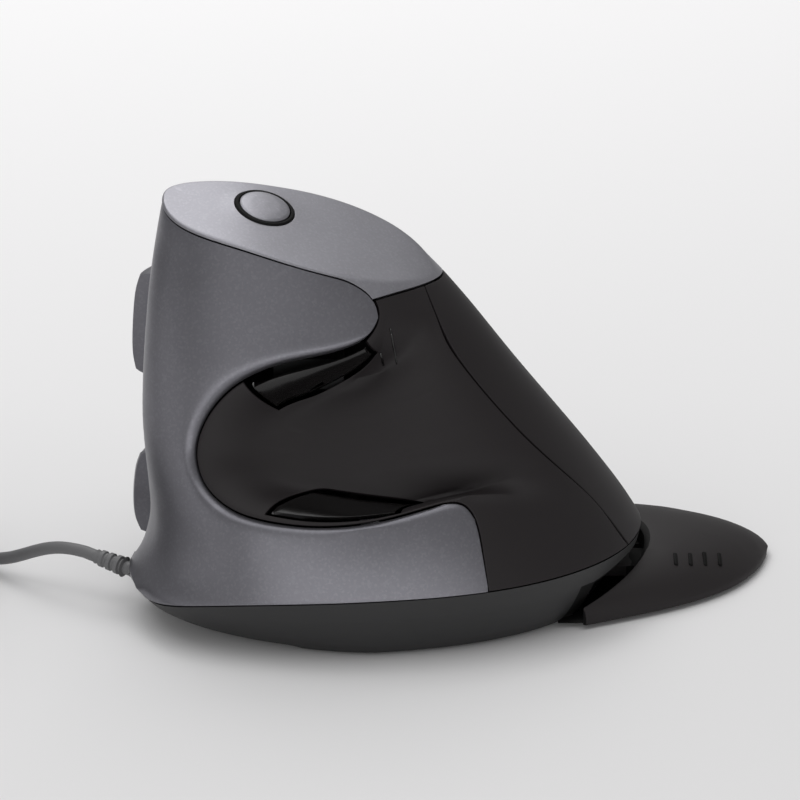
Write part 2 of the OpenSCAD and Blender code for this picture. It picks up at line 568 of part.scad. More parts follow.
// Board behind the finger face, its switches and the frame that carries it
board_out = -13.4;
board_low = right_up - 4.5;
board_high = left_up + 3.6;
board_back = hinge_y + 3;
board_front = 38;
click_top = board_out + switch_h + plunger_up;
peg_off = wheel_r + 1.6;
peg_r = 1;
wheel_hole = wheel_r + 0.2;
module on_board(y, up) on_face() translate([board_out, y - wheel_y, up]) rotate([0, 90, 0]) children();
module switch_board() color([0.08, 0.3, 0.16]) on_face() difference() {
    translate([board_out - board_t, board_back - wheel_y, board_low])
        cube([board_t, board_front - board_back, board_high - board_low]);
    translate([board_out - board_t - 1, -wheel_hole, -slot_wide / 2]) cube([board_t + 2, 2 * wheel_hole,
        slot_wide]);
    for (side = [-1, 1]) translate([board_out - board_t - 1, side * peg_off, 0])
        rotate([0, 90, 0]) cylinder(r = peg_r + running_fit, h = board_t + 2);
}
module left_click_switch() color([0.1, 0.1, 0.1]) on_board(click_y, left_up) switch_block(switch_l,
    switch_w, switch_h);
module left_click_plunger() color([0.8, 0.15, 0.1]) on_board(click_y, left_up) plunger(switch_h);
module right_click_switch() color([0.1, 0.1, 0.1]) on_board(click_y, right_up) switch_block(switch_l,
    switch_w, switch_h);
module right_click_plunger() color([0.8, 0.15, 0.1]) on_board(click_y, right_up) plunger(switch_h);

post_gap = 0.8;
plate_t = 1.8;
plate_x = board_out - board_t - post_gap - plate_t;
ear_high = left_up + left_arm + arm_w / 2 + ear_gap + ear_t;
leg_y = [13.5, 24];
leg_w = 5;
leg_x = [13.5, 19.5];
// Height of the plate's lower edge, which the legs reach into
plate_foot = wheel_face.z + plate_x * sin(face_tilt) + board_low * cos(face_tilt);
module finger_frame() color([0.2, 0.2, 0.21]) difference() {
    union() {
        on_face() {
            difference() {
                translate([plate_x, hinge_y - 2.4 - wheel_y, board_low])
                    cube([plate_t, board_front - hinge_y + 2.4, board_high - board_low]);
                translate([plate_x - 1, -wheel_hole, -slot_wide / 2]) cube([plate_t + 2, 2 * wheel_hole,
                    slot_wide]);
                for (side = [-1, 1]) translate([plate_x - 1, side * peg_off, 0])
                    rotate([0, 90, 0]) cylinder(r = peg_r + 0.5, h = plate_t + 2);
            }
            translate([plate_x, hinge_y - 2.4 - wheel_y, board_low]) cube([plate_t, 4.8,
                ear_high - board_low]);
            for (y = [board_back + 2, board_front - 2], up = [board_low + 2, board_high - 2])
                translate([plate_x + plate_t / 2, y - wheel_y, up]) rotate([0, 90, 0])
                    cylinder(r = 1.6, h = plate_t / 2 + post_gap);
            for (ear = [[left_up, left_arm], [right_up, right_arm]], side = [-1, 1]) {
                inner = ear[0] + side * (ear[1] + arm_w / 2 + ear_gap);
                difference() {
                    translate([plate_x + plate_t / 2, hinge_y - 2.4 - wheel_y, min(inner, inner + side
                        * ear_t)])
                        cube([hinge_out + 2.4 - plate_x - plate_t / 2, 4.8, ear_t]);
                    translate([hinge_out, hinge_y - wheel_y, inner - 5])
                        cylinder(r = pin_r + running_fit, h = 10);
                }
            }
        }
        for (y = leg_y) translate([leg_x[0], y - leg_w / 2, floor_z]) {
            cube([leg_x[1] - leg_x[0], leg_w, plate_foot - floor_z - 0.4]);
            cube([plate_t, leg_w, plate_foot - floor_z + 1.6]);
        }
    }
    for (y = leg_y) translate([(leg_x[0] + leg_x[1]) / 2, y, floor_z - 1]) cylinder(r = screw_r + 0.05, h =
        6.5);
}

// Wheel on its axle, in a cradle that can be pressed
wheel_out = wheel_proud - wheel_r;
tyre_t = 1.6;
cheek_in = wheel_w / 2 + 0.6;
cheek_out = cheek_in + 2;
cradle_low = board_out + 2.1;
axle_low = -cheek_out - 0.6;
axle_high = cheek_out + 3;
module at_wheel() on_face() translate([wheel_out, 0, 0]) children();
module scroll_wheel() color([0.12, 0.12, 0.12]) at_wheel() difference() {
    translate([0, 0, -wheel_w / 2]) cylinder(r = wheel_r - tyre_t, h = wheel_w);
    translate([0, 0, -wheel_w]) cylinder(r = axle_r, h = 2 * wheel_w);
    for (side = [-1, 1]) translate([0, 0, side * wheel_w / 2]) rotate([side > 0 ? 0 : 180, 0, 0])
        translate([0, 0, -1.2]) difference() {
            cylinder(r = wheel_r - tyre_t - 1.2, h = 2);
            translate([0, 0, -1]) cylinder(r = axle_r + 1.6, h = 4);
        }
}
groove_count = 28;
module wheel_tyre() color([0.07, 0.07, 0.07]) at_wheel() difference() {
    rotate_extrude() polygon([[wheel_r - tyre_t, -wheel_w / 2], [wheel_r - 0.6, -wheel_w / 2],
        [wheel_r, -wheel_w / 2 + 0.8], [wheel_r, wheel_w / 2 - 0.8], [wheel_r - 0.6, wheel_w / 2],
        [wheel_r - tyre_t, wheel_w / 2]]);
    for (k = [0 : groove_count - 1]) rotate([0, 0, 360 * k / groove_count])
        translate([wheel_r - 0.5, -0.3, -wheel_w]) cube([2, 0.6, 2 * wheel_w]);
}
module wheel_axle() color([0.75, 0.75, 0.77]) at_wheel() translate([0, 0, axle_low])
    cylinder(r = axle_r, h = axle_high - axle_low);
module wheel_cradle() color([0.17, 0.17, 0.18]) on_face() difference() {
    union() {
        difference() {
            translate([cradle_low, -peg_off - 1.1, -cheek_out]) cube([2.6, 2 * peg_off + 2.2, 2
                * cheek_out]);
            translate([cradle_low - 1, -wheel_r - 0.4, -cheek_in]) cube([5, 2 * wheel_r + 0.8, 2
                * cheek_in]);
        }
        for (side = [-1, 1]) {
            translate([cradle_low, -4.5, side > 0 ? cheek_in : -cheek_out])
                cube([wheel_out + axle_r + 1.4 - cradle_low, 9, cheek_out - cheek_in]);
            translate([board_out - board_t - 0.3, side * peg_off, 0]) rotate([0, 90, 0])
                cylinder(r = peg_r, h = cradle_low + 0.5 - board_out + board_t + 0.3);
        }
    }
    translate([wheel_out, 0, -cheek_out - 1]) cylinder(r = axle_r + running_fit, h = 2 * cheek_out + 2);
}
encoder_t = 3;
module wheel_encoder() color([0.3, 0.32, 0.35]) at_wheel() difference() {
    translate([-4.5, -4.5, cheek_out]) cube([7.4, 9, encoder_t]);
    translate([0, 0, cheek_out - 1]) cylinder(r = axle_r + running_fit, h = encoder_t + 2);
}
middle_h = cradle_low - board_out - plunger_up;
middle_up = -(cheek_in + cheek_out) / 2;
tact_w = 4;
module middle_click_switch() color([0.1, 0.1, 0.1]) on_board(wheel_y - wheel_hole - 1.4, middle_up - 0.9)
    difference() {
        translate([-tact_w / 2, -tact_w / 2, 0]) cube([tact_w, tact_w, middle_h]);
        translate([0, 0, 0.3]) cylinder(r = plunger_r + 0.1, h = middle_h);
    }
module middle_click_plunger() color([0.8, 0.8, 0.75]) on_board(wheel_y - wheel_hole - 1.4, middle_up - 0.9)
    translate([0, 0, middle_h - 0.5]) cylinder(r = plunger_r, h = 0.5 + plunger_up);

// Board of the thumb switches and the frame that carries it and the cap's switch
thumb_face = 0.8;
thumb_x = thumb_face - board_t;
thumb_plunger_x = thumb_x - switch_h - plunger_up;
thumb_board_y = [4, 33];
lower_switch = lower_stem - [0, 0, lower_drop];
thumb_board_z = [lower_switch.z - 5, upper_stem.z + 4];
module on_thumb_board(stem) translate([thumb_x, stem.y, stem.z]) rotate([0, -90, 0]) children();
module thumb_board() color([0.08, 0.3, 0.16]) translate([thumb_x, thumb_board_y[0], thumb_board_z[0]])
    cube([board_t, thumb_board_y[1] - thumb_board_y[0], thumb_board_z[1] - thumb_board_z[0]]);
module forward_switch() color([0.1, 0.1, 0.1]) on_thumb_board(upper_stem) switch_block(switch_l, switch_w,
    switch_h);
module forward_plunger() color([0.85, 0.85, 0.8]) on_thumb_board(upper_stem) plunger(switch_h);
module back_switch() color([0.1, 0.1, 0.1]) on_thumb_board(lower_switch) switch_block(switch_l, switch_w,
    switch_h);
module back_plunger() color([0.85, 0.85, 0.8]) on_thumb_board(lower_switch) plunger(switch_h);

thumb_post = 1.4;
thumb_plate_y = [12, 33];
foot_x = [-5, 5];
foot_y = [14, 31];
thumb_screw = [-2, [16.5, 28.5]];
module thumb_frame() color([0.2, 0.2, 0.21]) difference() {
    union() {
        difference() {
            translate([thumb_face + thumb_post, thumb_plate_y[0], floor_z])
                cube([plate_t, thumb_plate_y[1] - thumb_plate_y[0], cap_height]);
            on_cap() translate([-40, -40, -shelf_depth + shelf_t / 2]) cube([80, 80, 80]);
        }
        on_cap() translate([-7, -6, -shelf_depth]) cube([11, 12, shelf_t]);
        translate([foot_x[0], foot_y[0], floor_z]) cube([foot_x[1] - foot_x[0], foot_y[1] - foot_y[0], 4]);
        for (y = [thumb_plate_y[0] + 2, thumb_plate_y[1] - 2], z = [thumb_board_z[0] + 2,
            thumb_board_z[1] - 2])
            translate([thumb_face, y, z]) rotate([0, 90, 0]) cylinder(r = 1.6, h = thumb_post
                + plate_t / 2);
    }
    for (y = thumb_screw[1]) translate([thumb_screw[0], y, floor_z - 1]) cylinder(r = screw_r + 0.05, h =
        5);
}

// Cap button in its ring, over its own switch
module on_cap() multmatrix([[dpi_across.x, dpi_along.x, dpi_axis.x, dpi_top.x],
    [dpi_across.y, dpi_along.y, dpi_axis.y, dpi_top.y],
    [dpi_across.z, dpi_along.z, dpi_axis.z, dpi_top.z], [0, 0, 0, 1]]) children();
ring_gap = 0.15;
dpi_flange = 2.9;
tact_h = 4;
tact_top = -6.2;
shelf_t = 2;
shelf_depth = board_t + tact_h - tact_top + shelf_t;
module dpi_ring_bezel() color([0.5, 0.5, 0.52]) on_cap() rotate_extrude() polygon([
    [dpi_r + 0.25, -dpi_flange - 0.7], [dpi_hole + 0.25, -dpi_flange - 0.7], [dpi_hole + 0.25,
        -dpi_flange], [dpi_hole - ring_gap, -dpi_flange],
    [dpi_hole - ring_gap, 0.05], [dpi_hole - ring_gap - 0.25, 0.3], [dpi_r + 0.25, 0.3]]);
module dpi_button() color([0.25, 0.25, 0.27]) on_cap() rotate_extrude() polygon([
    [0, tact_top + plunger_up], [1.8, tact_top + plunger_up], [1.8, -4.9], [dpi_r + 0.8, -4.9],
    [dpi_r + 0.8, -dpi_flange - 1], [dpi_r, -dpi_flange - 1], [dpi_r, 0.35], [dpi_r - 0.35, 0.65], [dpi_r
        * 0.6, 0.85], [0, 0.95]]);
module dpi_switch() color([0.1, 0.1, 0.1]) on_cap() translate([0, 0, tact_top - tact_h]) switch_block(6, 6,
    tact_h);
module dpi_plunger() color([0.85, 0.85, 0.8]) on_cap() translate([0, 0, tact_top - tact_h]) plunger(tact_h,
    2);
module dpi_board() color([0.08, 0.3, 0.16]) on_cap() translate([-6.5, -5.5, tact_top - tact_h - board_t])
    cube([10.2, 11, board_t]);

// Base tray
base_z = foot_h - 0.2;
base_t = 2;
// A recess at the rear, with a step beside it, takes the palm rest
recess = 2.2;
recess_from = 235;
recess_to = 335;
base_angles = [each [0 : 5 : recess_from], recess_from + 1.5, each [recess_from + 5 : 5 : recess_to - 5],
    recess_to - 1.5, each [recess_to : 5 : 355]];
function recess_in(a) = a > recess_from && a < recess_to ? recess : 0;
// Share of the wall's height where the recess ends
function recess_top(a) = curve([[200, 0.66], [237, 0.67], [243, 0.76], [250, 0.8], [320, 0.8], [335, 0.7],
    [345, 0.66],
    [360, 0.66]], max(200, a));
base_profile = [[0, 1], [0.1, 0.82], [0.25, 0.6], [0.5, 0.33], [0.75, 0.12], [1, 0]];
function draft_at(a) = base_draft + max(0, -sin(a)) + 6 * max(0, sin(a));
function base_pt(a, share, inset, thick = 0) = let (
        zs = seam_z(a) - seam,
        p = wall_pt(a, zs),
        n = wall_normal(a, zs),
        side = unit([n.x, n.y, 0]),
        q = p - (0.3 + inset + thick + draft_at(a) * curve(base_profile, share)) * side)
    [q.x, q.y, mix(base_z, zs, share) - thick * max(0, n.z)];
step_share = 0.012;
base_above = [1, 0.5, 0];
base_below = [1, 0.75, 0.5, 0.3, 0.14, 0];
module loft(rings) {
    n = len(rings[0]);
    m = len(rings);
    middle = function (ring) [for (k = [0 : 2]) [for (p = ring) 1] * [for (p = ring) p[k]] / n];
    sides = [for (i = [0 : m - 2], j = [0 : n - 1]) each
        quad(i * n + j, i * n + (j + 1) % n, (i + 1) * n + (j + 1) % n, (i + 1) * n + j)];
    first = [for (j = [0 : n - 1]) [m * n, (j + 1) % n, j]];
    final = [for (j = [0 : n - 1]) [m * n + 1, (m - 1) * n + j, (m - 1) * n + (j + 1) % n]];
    polyhedron([each each rings, middle(rings[0]), middle(rings[m - 1])], concat(sides, first, final));
}
floor_z = base_z + base_t;
post_h = 3.4;
main_board_x = [-13, 19];
main_board_y = [-27, 9];
post_at = [for (x = [main_board_x[0] + 3, main_board_x[1] - 3], y = [main_board_y[0] + 3,
    main_board_y[1] - 3]) [x, y]];
base_screw_at = [for (y = leg_y) [(leg_x[0] + leg_x[1]) / 2, y], for (y = thumb_screw[1]) [thumb_screw[0],
    y]];
head_r = screw_r + 1;
head_h = 1.1;
tongue_x = [5, 16];
tongue_long = 24;
tongue_w = 9;
tongue_z = 4;
tongue_t = 2;
tongue_gap = 0.3;
pad_pocket = foot_h - base_z;
module pad(long, wide) {
    for (side = [-1, 1]) translate([side * (long - wide) / 2, 0, 0]) circle(d = wide);
    square([long - wide, wide], center = true);
}
module ring(inner, outer) difference() {
    circle(r = outer);
    circle(r = inner);
}
foot_ring = [lens_r + 1.4, lens_r + 4];
pad_front = [-1, 22.5, 25, 5.6];
pad_rear = [5, -25, 22, 6];
module base() color([0.16, 0.16, 0.17]) difference() {
    union() {
        loft([
            [for (a = base_angles) let (p = base_pt(a, 0.12, recess_in(a), base_t)) [p.x, p.y, floor_z]],
            [for (a = base_angles) base_pt(a, 0.45, recess_in(a), wall)],
            [for (a = base_angles) base_pt(a, recess_top(a) + 0.08, recess_in(a), wall)],
            [for (a = base_angles) base_pt(a, 1, 0, wall)],
            each [for (s = base_above) [for (a = base_angles) base_pt(a, mix(recess_top(a) + step_share, 1,
                s), 0)]],
            each [for (s = base_below)
                [for (a = base_angles) base_pt(a, (recess_top(a) - step_share) * s, recess_in(a))]]]);
        for (p = post_at) translate([p.x, p.y, floor_z - 0.5]) cylinder(r = 2.4, h = post_h + 0.5);
    }
    translate([0, 0, base_z - 1]) cylinder(r = lens_r, h = base_t + 2);
    for (p = post_at) translate([p.x, p.y, floor_z]) cylinder(r = screw_r + 0.05, h = post_h + 1);
    for (p = base_screw_at) translate([p.x, p.y, base_z - 1]) {
        cylinder(r = screw_r + 0.15, h = base_t + 2);
        cylinder(r = head_r + 0.2, h = 1 + head_h + 0.2);
    }
    for (x = tongue_x) translate([x - tongue_w / 2 - tongue_gap, -rear_reach - 4, tongue_z - tongue_gap])
        cube([tongue_w + 2 * tongue_gap, tongue_long, tongue_t + 2 * tongue_gap]);
    for (p = [pad_front, pad_rear]) translate([p[0], p[1], base_z - 1]) linear_extrude(1 + pad_pocket)
        pad(p[2] + 0.4, p[3] + 0.4);
    translate([0, 0, base_z - 1]) linear_extrude(1 + pad_pocket) ring(foot_ring[0] - 0.2, foot_ring[1]
        + 0.2);
}
module front_foot() color([0.9, 0.9, 0.88]) translate([pad_front[0], pad_front[1], 0])
    linear_extrude(foot_h)
    pad(pad_front[2], pad_front[3]);
module rear_foot() color([0.9, 0.9, 0.88]) translate([pad_rear[0], pad_rear[1], 0]) linear_extrude(foot_h)
    pad(pad_rear[2], pad_rear[3]);
module sensor_foot() color([0.9, 0.9, 0.88]) linear_extrude(foot_h) ring(foot_ring[0], foot_ring[1]);
module screw(long) {
    cylinder(r = screw_r, h = long);
    difference() {
        cylinder(r = head_r, h = head_h);
        for (turn = [0, 90]) rotate([0, 0, turn]) translate([-1.2, -0.25, -1]) cube([2.4, 0.5, 1.6]);
    }
}
module base_screws() color([0.6, 0.6, 0.62]) for (p = base_screw_at)
    translate([p.x, p.y, base_z + 0.1]) screw(6);
module board_screws() color([0.6, 0.6, 0.62]) for (p = post_at)
    translate([p.x, p.y, floor_z + post_h + board_t + head_h]) rotate([180, 0, 0]) screw(5.4);

// Sensor stack on the main board
board_z = floor_z + post_h;
lens_t = 1.2;
module main_board() color([0.08, 0.3, 0.16]) difference() {
    translate([main_board_x[0], main_board_y[0], board_z])
        cube([main_board_x[1] - main_board_x[0], main_board_y[1] - main_board_y[0], board_t]);
    for (p = post_at) translate([p.x, p.y, board_z - 1]) cylinder(r = screw_r + 0.15, h = board_t + 2);
}
module sensor_lens() color([0.75, 0.82, 0.85]) {
    translate([-7, -6, floor_z]) cube([14, 12, lens_t]);
    translate([0, 0, base_z + 0.5]) cylinder(r = lens_r - 0.2, h = floor_z - base_z);
}
module optical_sensor() color([0.06, 0.06, 0.06]) translate([-5, -4.5, floor_z + lens_t])
    cube([10, 9, post_h - lens_t]);
module controller_chip() color([0.06, 0.06, 0.06]) translate([-4, -18, board_z + board_t]) cube([7, 7, 1]);
module cable_header() color([0.9, 0.9, 0.86]) translate([-6, 2, board_z + board_t]) cube([9, 5, 5]);

// Palm rest: a wing behind the base, held by two tongues
rest_z = base_z + 0.4;
rest_outer = [[0, [-16, 37.6 - rest_reach]], [1, [-11.2, 27.7 - rest_reach]], [2, [-6.4, 19 - rest_reach]],
    [3, [-0.2, 11 - rest_reach]], [4, [7, 5.3 - rest_reach]], [5, [16, 1.4 - rest_reach]], [6, [24.5,
        1 - rest_reach]],
    [7, [31.5, 8.5 - rest_reach]], [8, [35.8, 22 - rest_reach]], [9, [right_reach + 3.8, 38 - rest_reach]],
    [10, [right_reach + 2.8, 52 - rest_reach]]];
rest_angle = [[0, 232], [5, 276], [10, 338]];
rest_ridge = [[0, 4.4], [2, rest_height - 2], [4.5, rest_height], [7, rest_height - 0.6], [10, 5.4]];
rest_v = [0, 0.04, 0.14, 0.35, 0.6, 0.78, 0.9, 0.97, 1];
function rest_pt(u, v) = let (
        a = curve(rest_angle, u),
        zs = seam_z(a) - seam,
        p = wall_pt(a, zs),
        n = wall_normal(a, zs),
        ridge = curve(rest_ridge, u),
        tuck = 0.3 + draft_at(a) * curve(base_profile, (ridge - base_z) / (zs - base_z)),
        inner = [p.x, p.y] + (rest_gap - tuck) * unit([n.x, n.y]),
        xy = mix(inner, curve(rest_outer, u), v),
        fall = mix(rest_edge, ridge, (1 - v^2.2)^0.8),
        edge = v == 0 ? 0.5 : 0)
    [xy[0], xy[1], fall - edge];
module palm_rest() color([0.14, 0.14, 0.15]) difference() {
    union() {
        top = [for (u = [0 : 0.5 : 10]) [for (v = rest_v) rest_pt(u, v)]];
        panel(top, [for (row = top) [for (p = row) [p.x, p.y, rest_z]]]);
        for (x = tongue_x) translate([x - tongue_w / 2, -rear_reach - 6, tongue_z])
            cube([tongue_w, tongue_long, tongue_t]);
    }
    translate([rest_pad[0], rest_pad[1], rest_z - 1]) linear_extrude(1 + pad_pocket) pad(rest_pad[2] + 0.4,
        rest_pad[3] + 0.4);
}
rest_pad = [16, 8 - rest_reach, 14, 5];
module palm_rest_foot() color([0.9, 0.9, 0.88]) translate([rest_pad[0], rest_pad[1], 0])
    linear_extrude(rest_z + pad_pocket)
    pad(rest_pad[2], rest_pad[3]);

// Cable: a ribbed boot in the nose, a free stretch, a tied coil and the plug
boot_angle = 91;
boot_z = 8;
boot_long = 7;
boot_r = 1.8;
boot_from = wall_pt(boot_angle, boot_z);
boot_dir = unit([1.4, 2.5, 0.4]);
boot_end = boot_from + boot_long * boot_dir;
cable_steps = [[0, 0], [0.7, 1.25], [1.4, 2.5], [2.8, 5], [4.3, 7.5], [5.8, 10], [7.4, 12.5], [9.1, 15],
    [10.8, 17.5],
    [12.6, 20], [14.4, 22.5], [16.3, 25], [18.2, 27.5], [20, 29.9], [21.8, 32.3], [23.6, 34.7]];
cable_rise = [boot_end.z, boot_end.z + 0.2, boot_end.z + 0.4, boot_end.z + 0.4, 9, 8.2, 7, 5.6, 4.3, 3.3,
    2.6];
tie_t = 0.6;
coil_low = tie_t + 0.4 + cable_r;
cable_path = [for (k = [0 : len(cable_steps) - 1])
    [boot_end.x + cable_steps[k][0], boot_end.y + cable_steps[k][1],
        k < len(cable_rise) ? max(coil_low, cable_rise[k]) : coil_low]];
module on_boot() translate(boot_from) rotate([0, 0, -atan2(boot_dir.x, boot_dir.y)])
    rotate([-90 + asin(boot_dir.z), 0, 0]) children();
rib_count = 3;
rib_step = boot_long / (rib_count + 1);
module strain_relief() color([0.1, 0.1, 0.1]) {
    on_boot() rotate_extrude() polygon([[0, -1.2], [boot_r - 0.5, -1.2], [boot_r - 0.5, 0.6], [boot_r
        + 0.2, 0.8],
        for (k = [0 : rib_count - 1]) each let (z = 0.8 + rib_step * k) [[boot_r - 0.45, z + 0.2],
            [boot_r - 0.45, z + 0.7], [boot_r - 0.1 * k, z + 0.9], [boot_r - 0.1 * k, z + rib_step - 0.1]],
        [boot_r - 0.6, boot_long - 0.9], [cable_r + 0.2, boot_long], [0, boot_long]]);
    block = function (out) [for (t = [9.27, 9.5, 9.73]) [for (back = [4.2, 2.2, 0])
        let (p = shell_at(t, back)) skin(p[0], p[1], out)]];
    panel(block(0), block(-0.55 * wall));
}
function sweep(path, r, sides) = [for (i = [0 : len(path) - 1]) let (
        t = unit(path[min(i + 1, len(path) - 1)] - path[max(i - 1, 0)]),
        side = unit(cross(t, [0, 0, 1])),
        up = cross(side, t))
    [for (k = [0 : sides - 1]) path[i] + r * (cos(360 * k / sides) * side + sin(360 * k / sides) * up)]];
function smooth_path(points, n) = let (st = [for (k = [0 : len(points) - 1]) [k, points[k]]])
    [for (t = [0 : 1 / n : len(points) - 1]) curve(st, t)];
module cable() color([0.1, 0.1, 0.1]) loft(sweep(smooth_path(cable_path, 2), cable_r, 8));

coil_layers = 4;
coil_middle = 5.9 * 2 * cable_r;
coil_outer = coil_middle + coil_step * coil_turns / 2;
coil_inner = coil_middle - coil_step * coil_turns / 2;
loop_rings = 24;
coil_start_turn = -36.87;
coil_heading = [-sin(coil_start_turn), cos(coil_start_turn), 0];
coil_start = cable_path[len(cable_path) - 1] + 2 * cable_r * coil_heading;
coil_centre = coil_start - coil_outer * [cos(coil_start_turn), sin(coil_start_turn), 0] - [0, 0, coil_low];
layer_turns = coil_turns + 0.5;
pile_turns = coil_layers * layer_turns - 0.5;
last_turn = 1;
plug_z = 4.1;
plug_lead = 12;
outer_lane = coil_outer + 4.4;
top_layer = coil_low + coil_rise * (coil_layers - 1);
function pile_r(w) = let (layer = min(coil_layers - 1, floor(w / layer_turns)), f = min(coil_turns,
    w - layer * layer_turns))
    layer % 2 == 0 ? coil_outer - coil_step * f : coil_inner + coil_step * f;
function pile_z(w) = let (layer = min(coil_layers - 1, floor(w / layer_turns)), f = w - layer * layer_turns)
    coil_low + coil_rise * (layer + max(0, f - coil_turns) / 0.5);
function coil_pt(w) = let (
        over = w - pile_turns,
        r = over <= 0 ? pile_r(w) : mix(coil_outer, outer_lane, ease(over / 0.4)),
        z = over <= 0 ? pile_z(w) : mix(top_layer, plug_z, ease((over - 0.35) / (last_turn - 0.4))),
        a = coil_start_turn + 360 * w)
    [coil_centre.x + r * cos(a), coil_centre.y + r * sin(a), z];
coil_end = coil_pt(pile_turns + last_turn);
coil_end_dir = let (a = coil_start_turn + 360 * (pile_turns + last_turn)) [-sin(a), cos(a), 0];
coil_path = [coil_start - 2 * cable_r * coil_heading,
    each [for (k = [0 : round((pile_turns + last_turn) * loop_rings)]) coil_pt(k / loop_rings)],
    each [for (k = [1 : 4]) coil_end + plug_lead * k / 4 * coil_end_dir]];
function least_gap() = min([for (i = [0 : len(coil_path) - 1], j = [i + 14 : 1 : len(coil_path) - 1])
    norm(coil_path[i] - coil_path[j])]) - 2 * cable_r;
function path_length(p) = [for (k = [1 : len(p) - 1]) norm(p[k] - p[k - 1])] * [for (k = [1 :
    len(p) - 1]) 1];
module cable_coil() color([0.1, 0.1, 0.1]) {
    echo(coil_least_gap = least_gap(), cable_length = path_length(cable_path) + path_length(coil_path));
    loft(sweep(coil_path, cable_r, 6));
}
tie_turn = 53;
tie_w = 4;
tie_gap = 0.3;
tie_in = coil_inner - cable_r - tie_gap;
tie_out = coil_outer + cable_r + tie_gap;
tie_top = top_layer + cable_r + tie_gap;
module cable_tie() color([0.12, 0.12, 0.12]) translate([coil_centre.x, coil_centre.y, 0]) rotate([0, 0,
    tie_turn])
    difference() {
        translate([tie_in - tie_t, -tie_w / 2, 0.1]) cube([tie_out - tie_in + 2 * tie_t, tie_w, tie_top
            + tie_t - 0.1]);
        translate([tie_in, -tie_w, tie_t + 0.1]) cube([tie_out - tie_in, 2 * tie_w, tie_top - tie_t - 0.1]);
    }
grip_long = 20;
grip_w = 14;
grip_h = 7.8;
usb_w = 12;
usb_h = 4.5;
usb_long = 14;
usb_wall = 0.4;
module at_plug() translate(coil_end + plug_lead * coil_end_dir) rotate([0, 0, atan2(-coil_end_dir.x,
    coil_end_dir.y)]) children();
module usb_plug_grip() color([0.1, 0.1, 0.1]) at_plug() rotate([-90, 0, 0]) {
    cylinder(r1 = cable_r + 0.8, r2 = 3, h = 6);
    translate([0, 0, 5]) linear_extrude(grip_long - 5) hull()
        for (x = [-1, 1], y = [-1, 1]) translate([x * (grip_w / 2 - 2), y * (grip_h / 2 - 2)]) circle(r =
            2);
}
module usb_plug_shell() color([0.75, 0.75, 0.77]) at_plug() translate([0, grip_long, 0]) rotate([-90, 0,
    0]) difference() {
    translate([-usb_w / 2, -usb_h / 2, 0]) cube([usb_w, usb_h, usb_long]);
    translate([-usb_w / 2 + usb_wall, -usb_h / 2 + usb_wall, -1])
        cube([usb_w - 2 * usb_wall, usb_h - 2 * usb_wall, usb_long + 2]);
    for (x = [-1, 1]) translate([x * 2.6 - 1, -usb_h, 5]) cube([2, 2 * usb_h, 2]);
}
module usb_plug_tongue() color([0.9, 0.9, 0.9]) at_plug() translate([-usb_w / 2 + usb_wall, grip_long, 0.1])
    cube([usb_w - 2 * usb_wall, usb_long - 1, 1.75]);

left_shell();
top_cover();
thumb_panel();
palm_cover();
wheel_panel();
base();
front_foot();
rear_foot();
sensor_foot();
base_screws();
main_board();
board_screws();
sensor_lens();
optical_sensor();
controller_chip();
cable_header();
finger_frame();
switch_board();
left_click_switch();
right_click_switch();
middle_click_switch();
thumb_frame();
thumb_board();
forward_switch();
back_switch();
dpi_board();
dpi_switch();
dpi_ring_bezel();
left_click_button();
left_click_plunger();
right_click_button();
right_click_plunger();
forward_button();
forward_plunger();
back_button();
back_plunger();
dpi_button();
dpi_plunger();
wheel_cradle();
wheel_encoder();
middle_click_plunger();
scroll_wheel();
wheel_tyre();
wheel_axle();
palm_rest();
palm_rest_foot();
strain_relief();
cable();
cable_coil();
cable_tie();
usb_plug_grip();
usb_plug_shell();
usb_plug_tongue();
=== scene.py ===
import bpy
import bmesh
import json
import math
from mathutils import Matrix, Vector
from mathutils.bvhtree import BVHTree


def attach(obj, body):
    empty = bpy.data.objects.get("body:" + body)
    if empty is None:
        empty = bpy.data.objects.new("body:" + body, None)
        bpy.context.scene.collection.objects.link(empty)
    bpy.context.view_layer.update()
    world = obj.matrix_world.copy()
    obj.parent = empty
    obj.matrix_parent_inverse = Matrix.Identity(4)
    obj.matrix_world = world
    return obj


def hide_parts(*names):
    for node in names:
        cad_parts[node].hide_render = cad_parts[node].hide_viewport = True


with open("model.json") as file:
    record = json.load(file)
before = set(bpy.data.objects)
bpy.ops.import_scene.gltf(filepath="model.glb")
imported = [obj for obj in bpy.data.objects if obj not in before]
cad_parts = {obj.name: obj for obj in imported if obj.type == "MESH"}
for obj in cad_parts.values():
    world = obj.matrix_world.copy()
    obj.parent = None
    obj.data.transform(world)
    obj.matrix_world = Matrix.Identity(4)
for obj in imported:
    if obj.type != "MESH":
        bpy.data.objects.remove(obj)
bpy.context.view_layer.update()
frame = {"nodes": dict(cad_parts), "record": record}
nodes = frame["nodes"]
collection = bpy.context.scene.collection
print("frame loaded")

# Camera at the thumb side, a little above the mouse
cameraView = {
    "place": (-0.6108, 0.0, 0.2618),
    "lookAt": (0.0, 0.0, 0.0395),
    "lens": 157.95,
    "sensor": 36,
    "nearest": 0.01,
}


def placeCamera(view):
    data = bpy.data.cameras.new("photoCamera")
    data.lens = view["lens"]
    data.sensor_width = view["sensor"]
    data.clip_start = view["nearest"]
    camera = bpy.data.objects.new("photoCamera", data)
    collection.objects.link(camera)
    camera.location = view["place"]
    toward = Vector(view["lookAt"]) - Vector(view["place"])
    camera.rotation_mode = "QUATERNION"
    camera.rotation_quaternion = toward.to_track_quat("-Z", "Y")
    bpy.context.scene.camera = camera


placeCamera(cameraView)

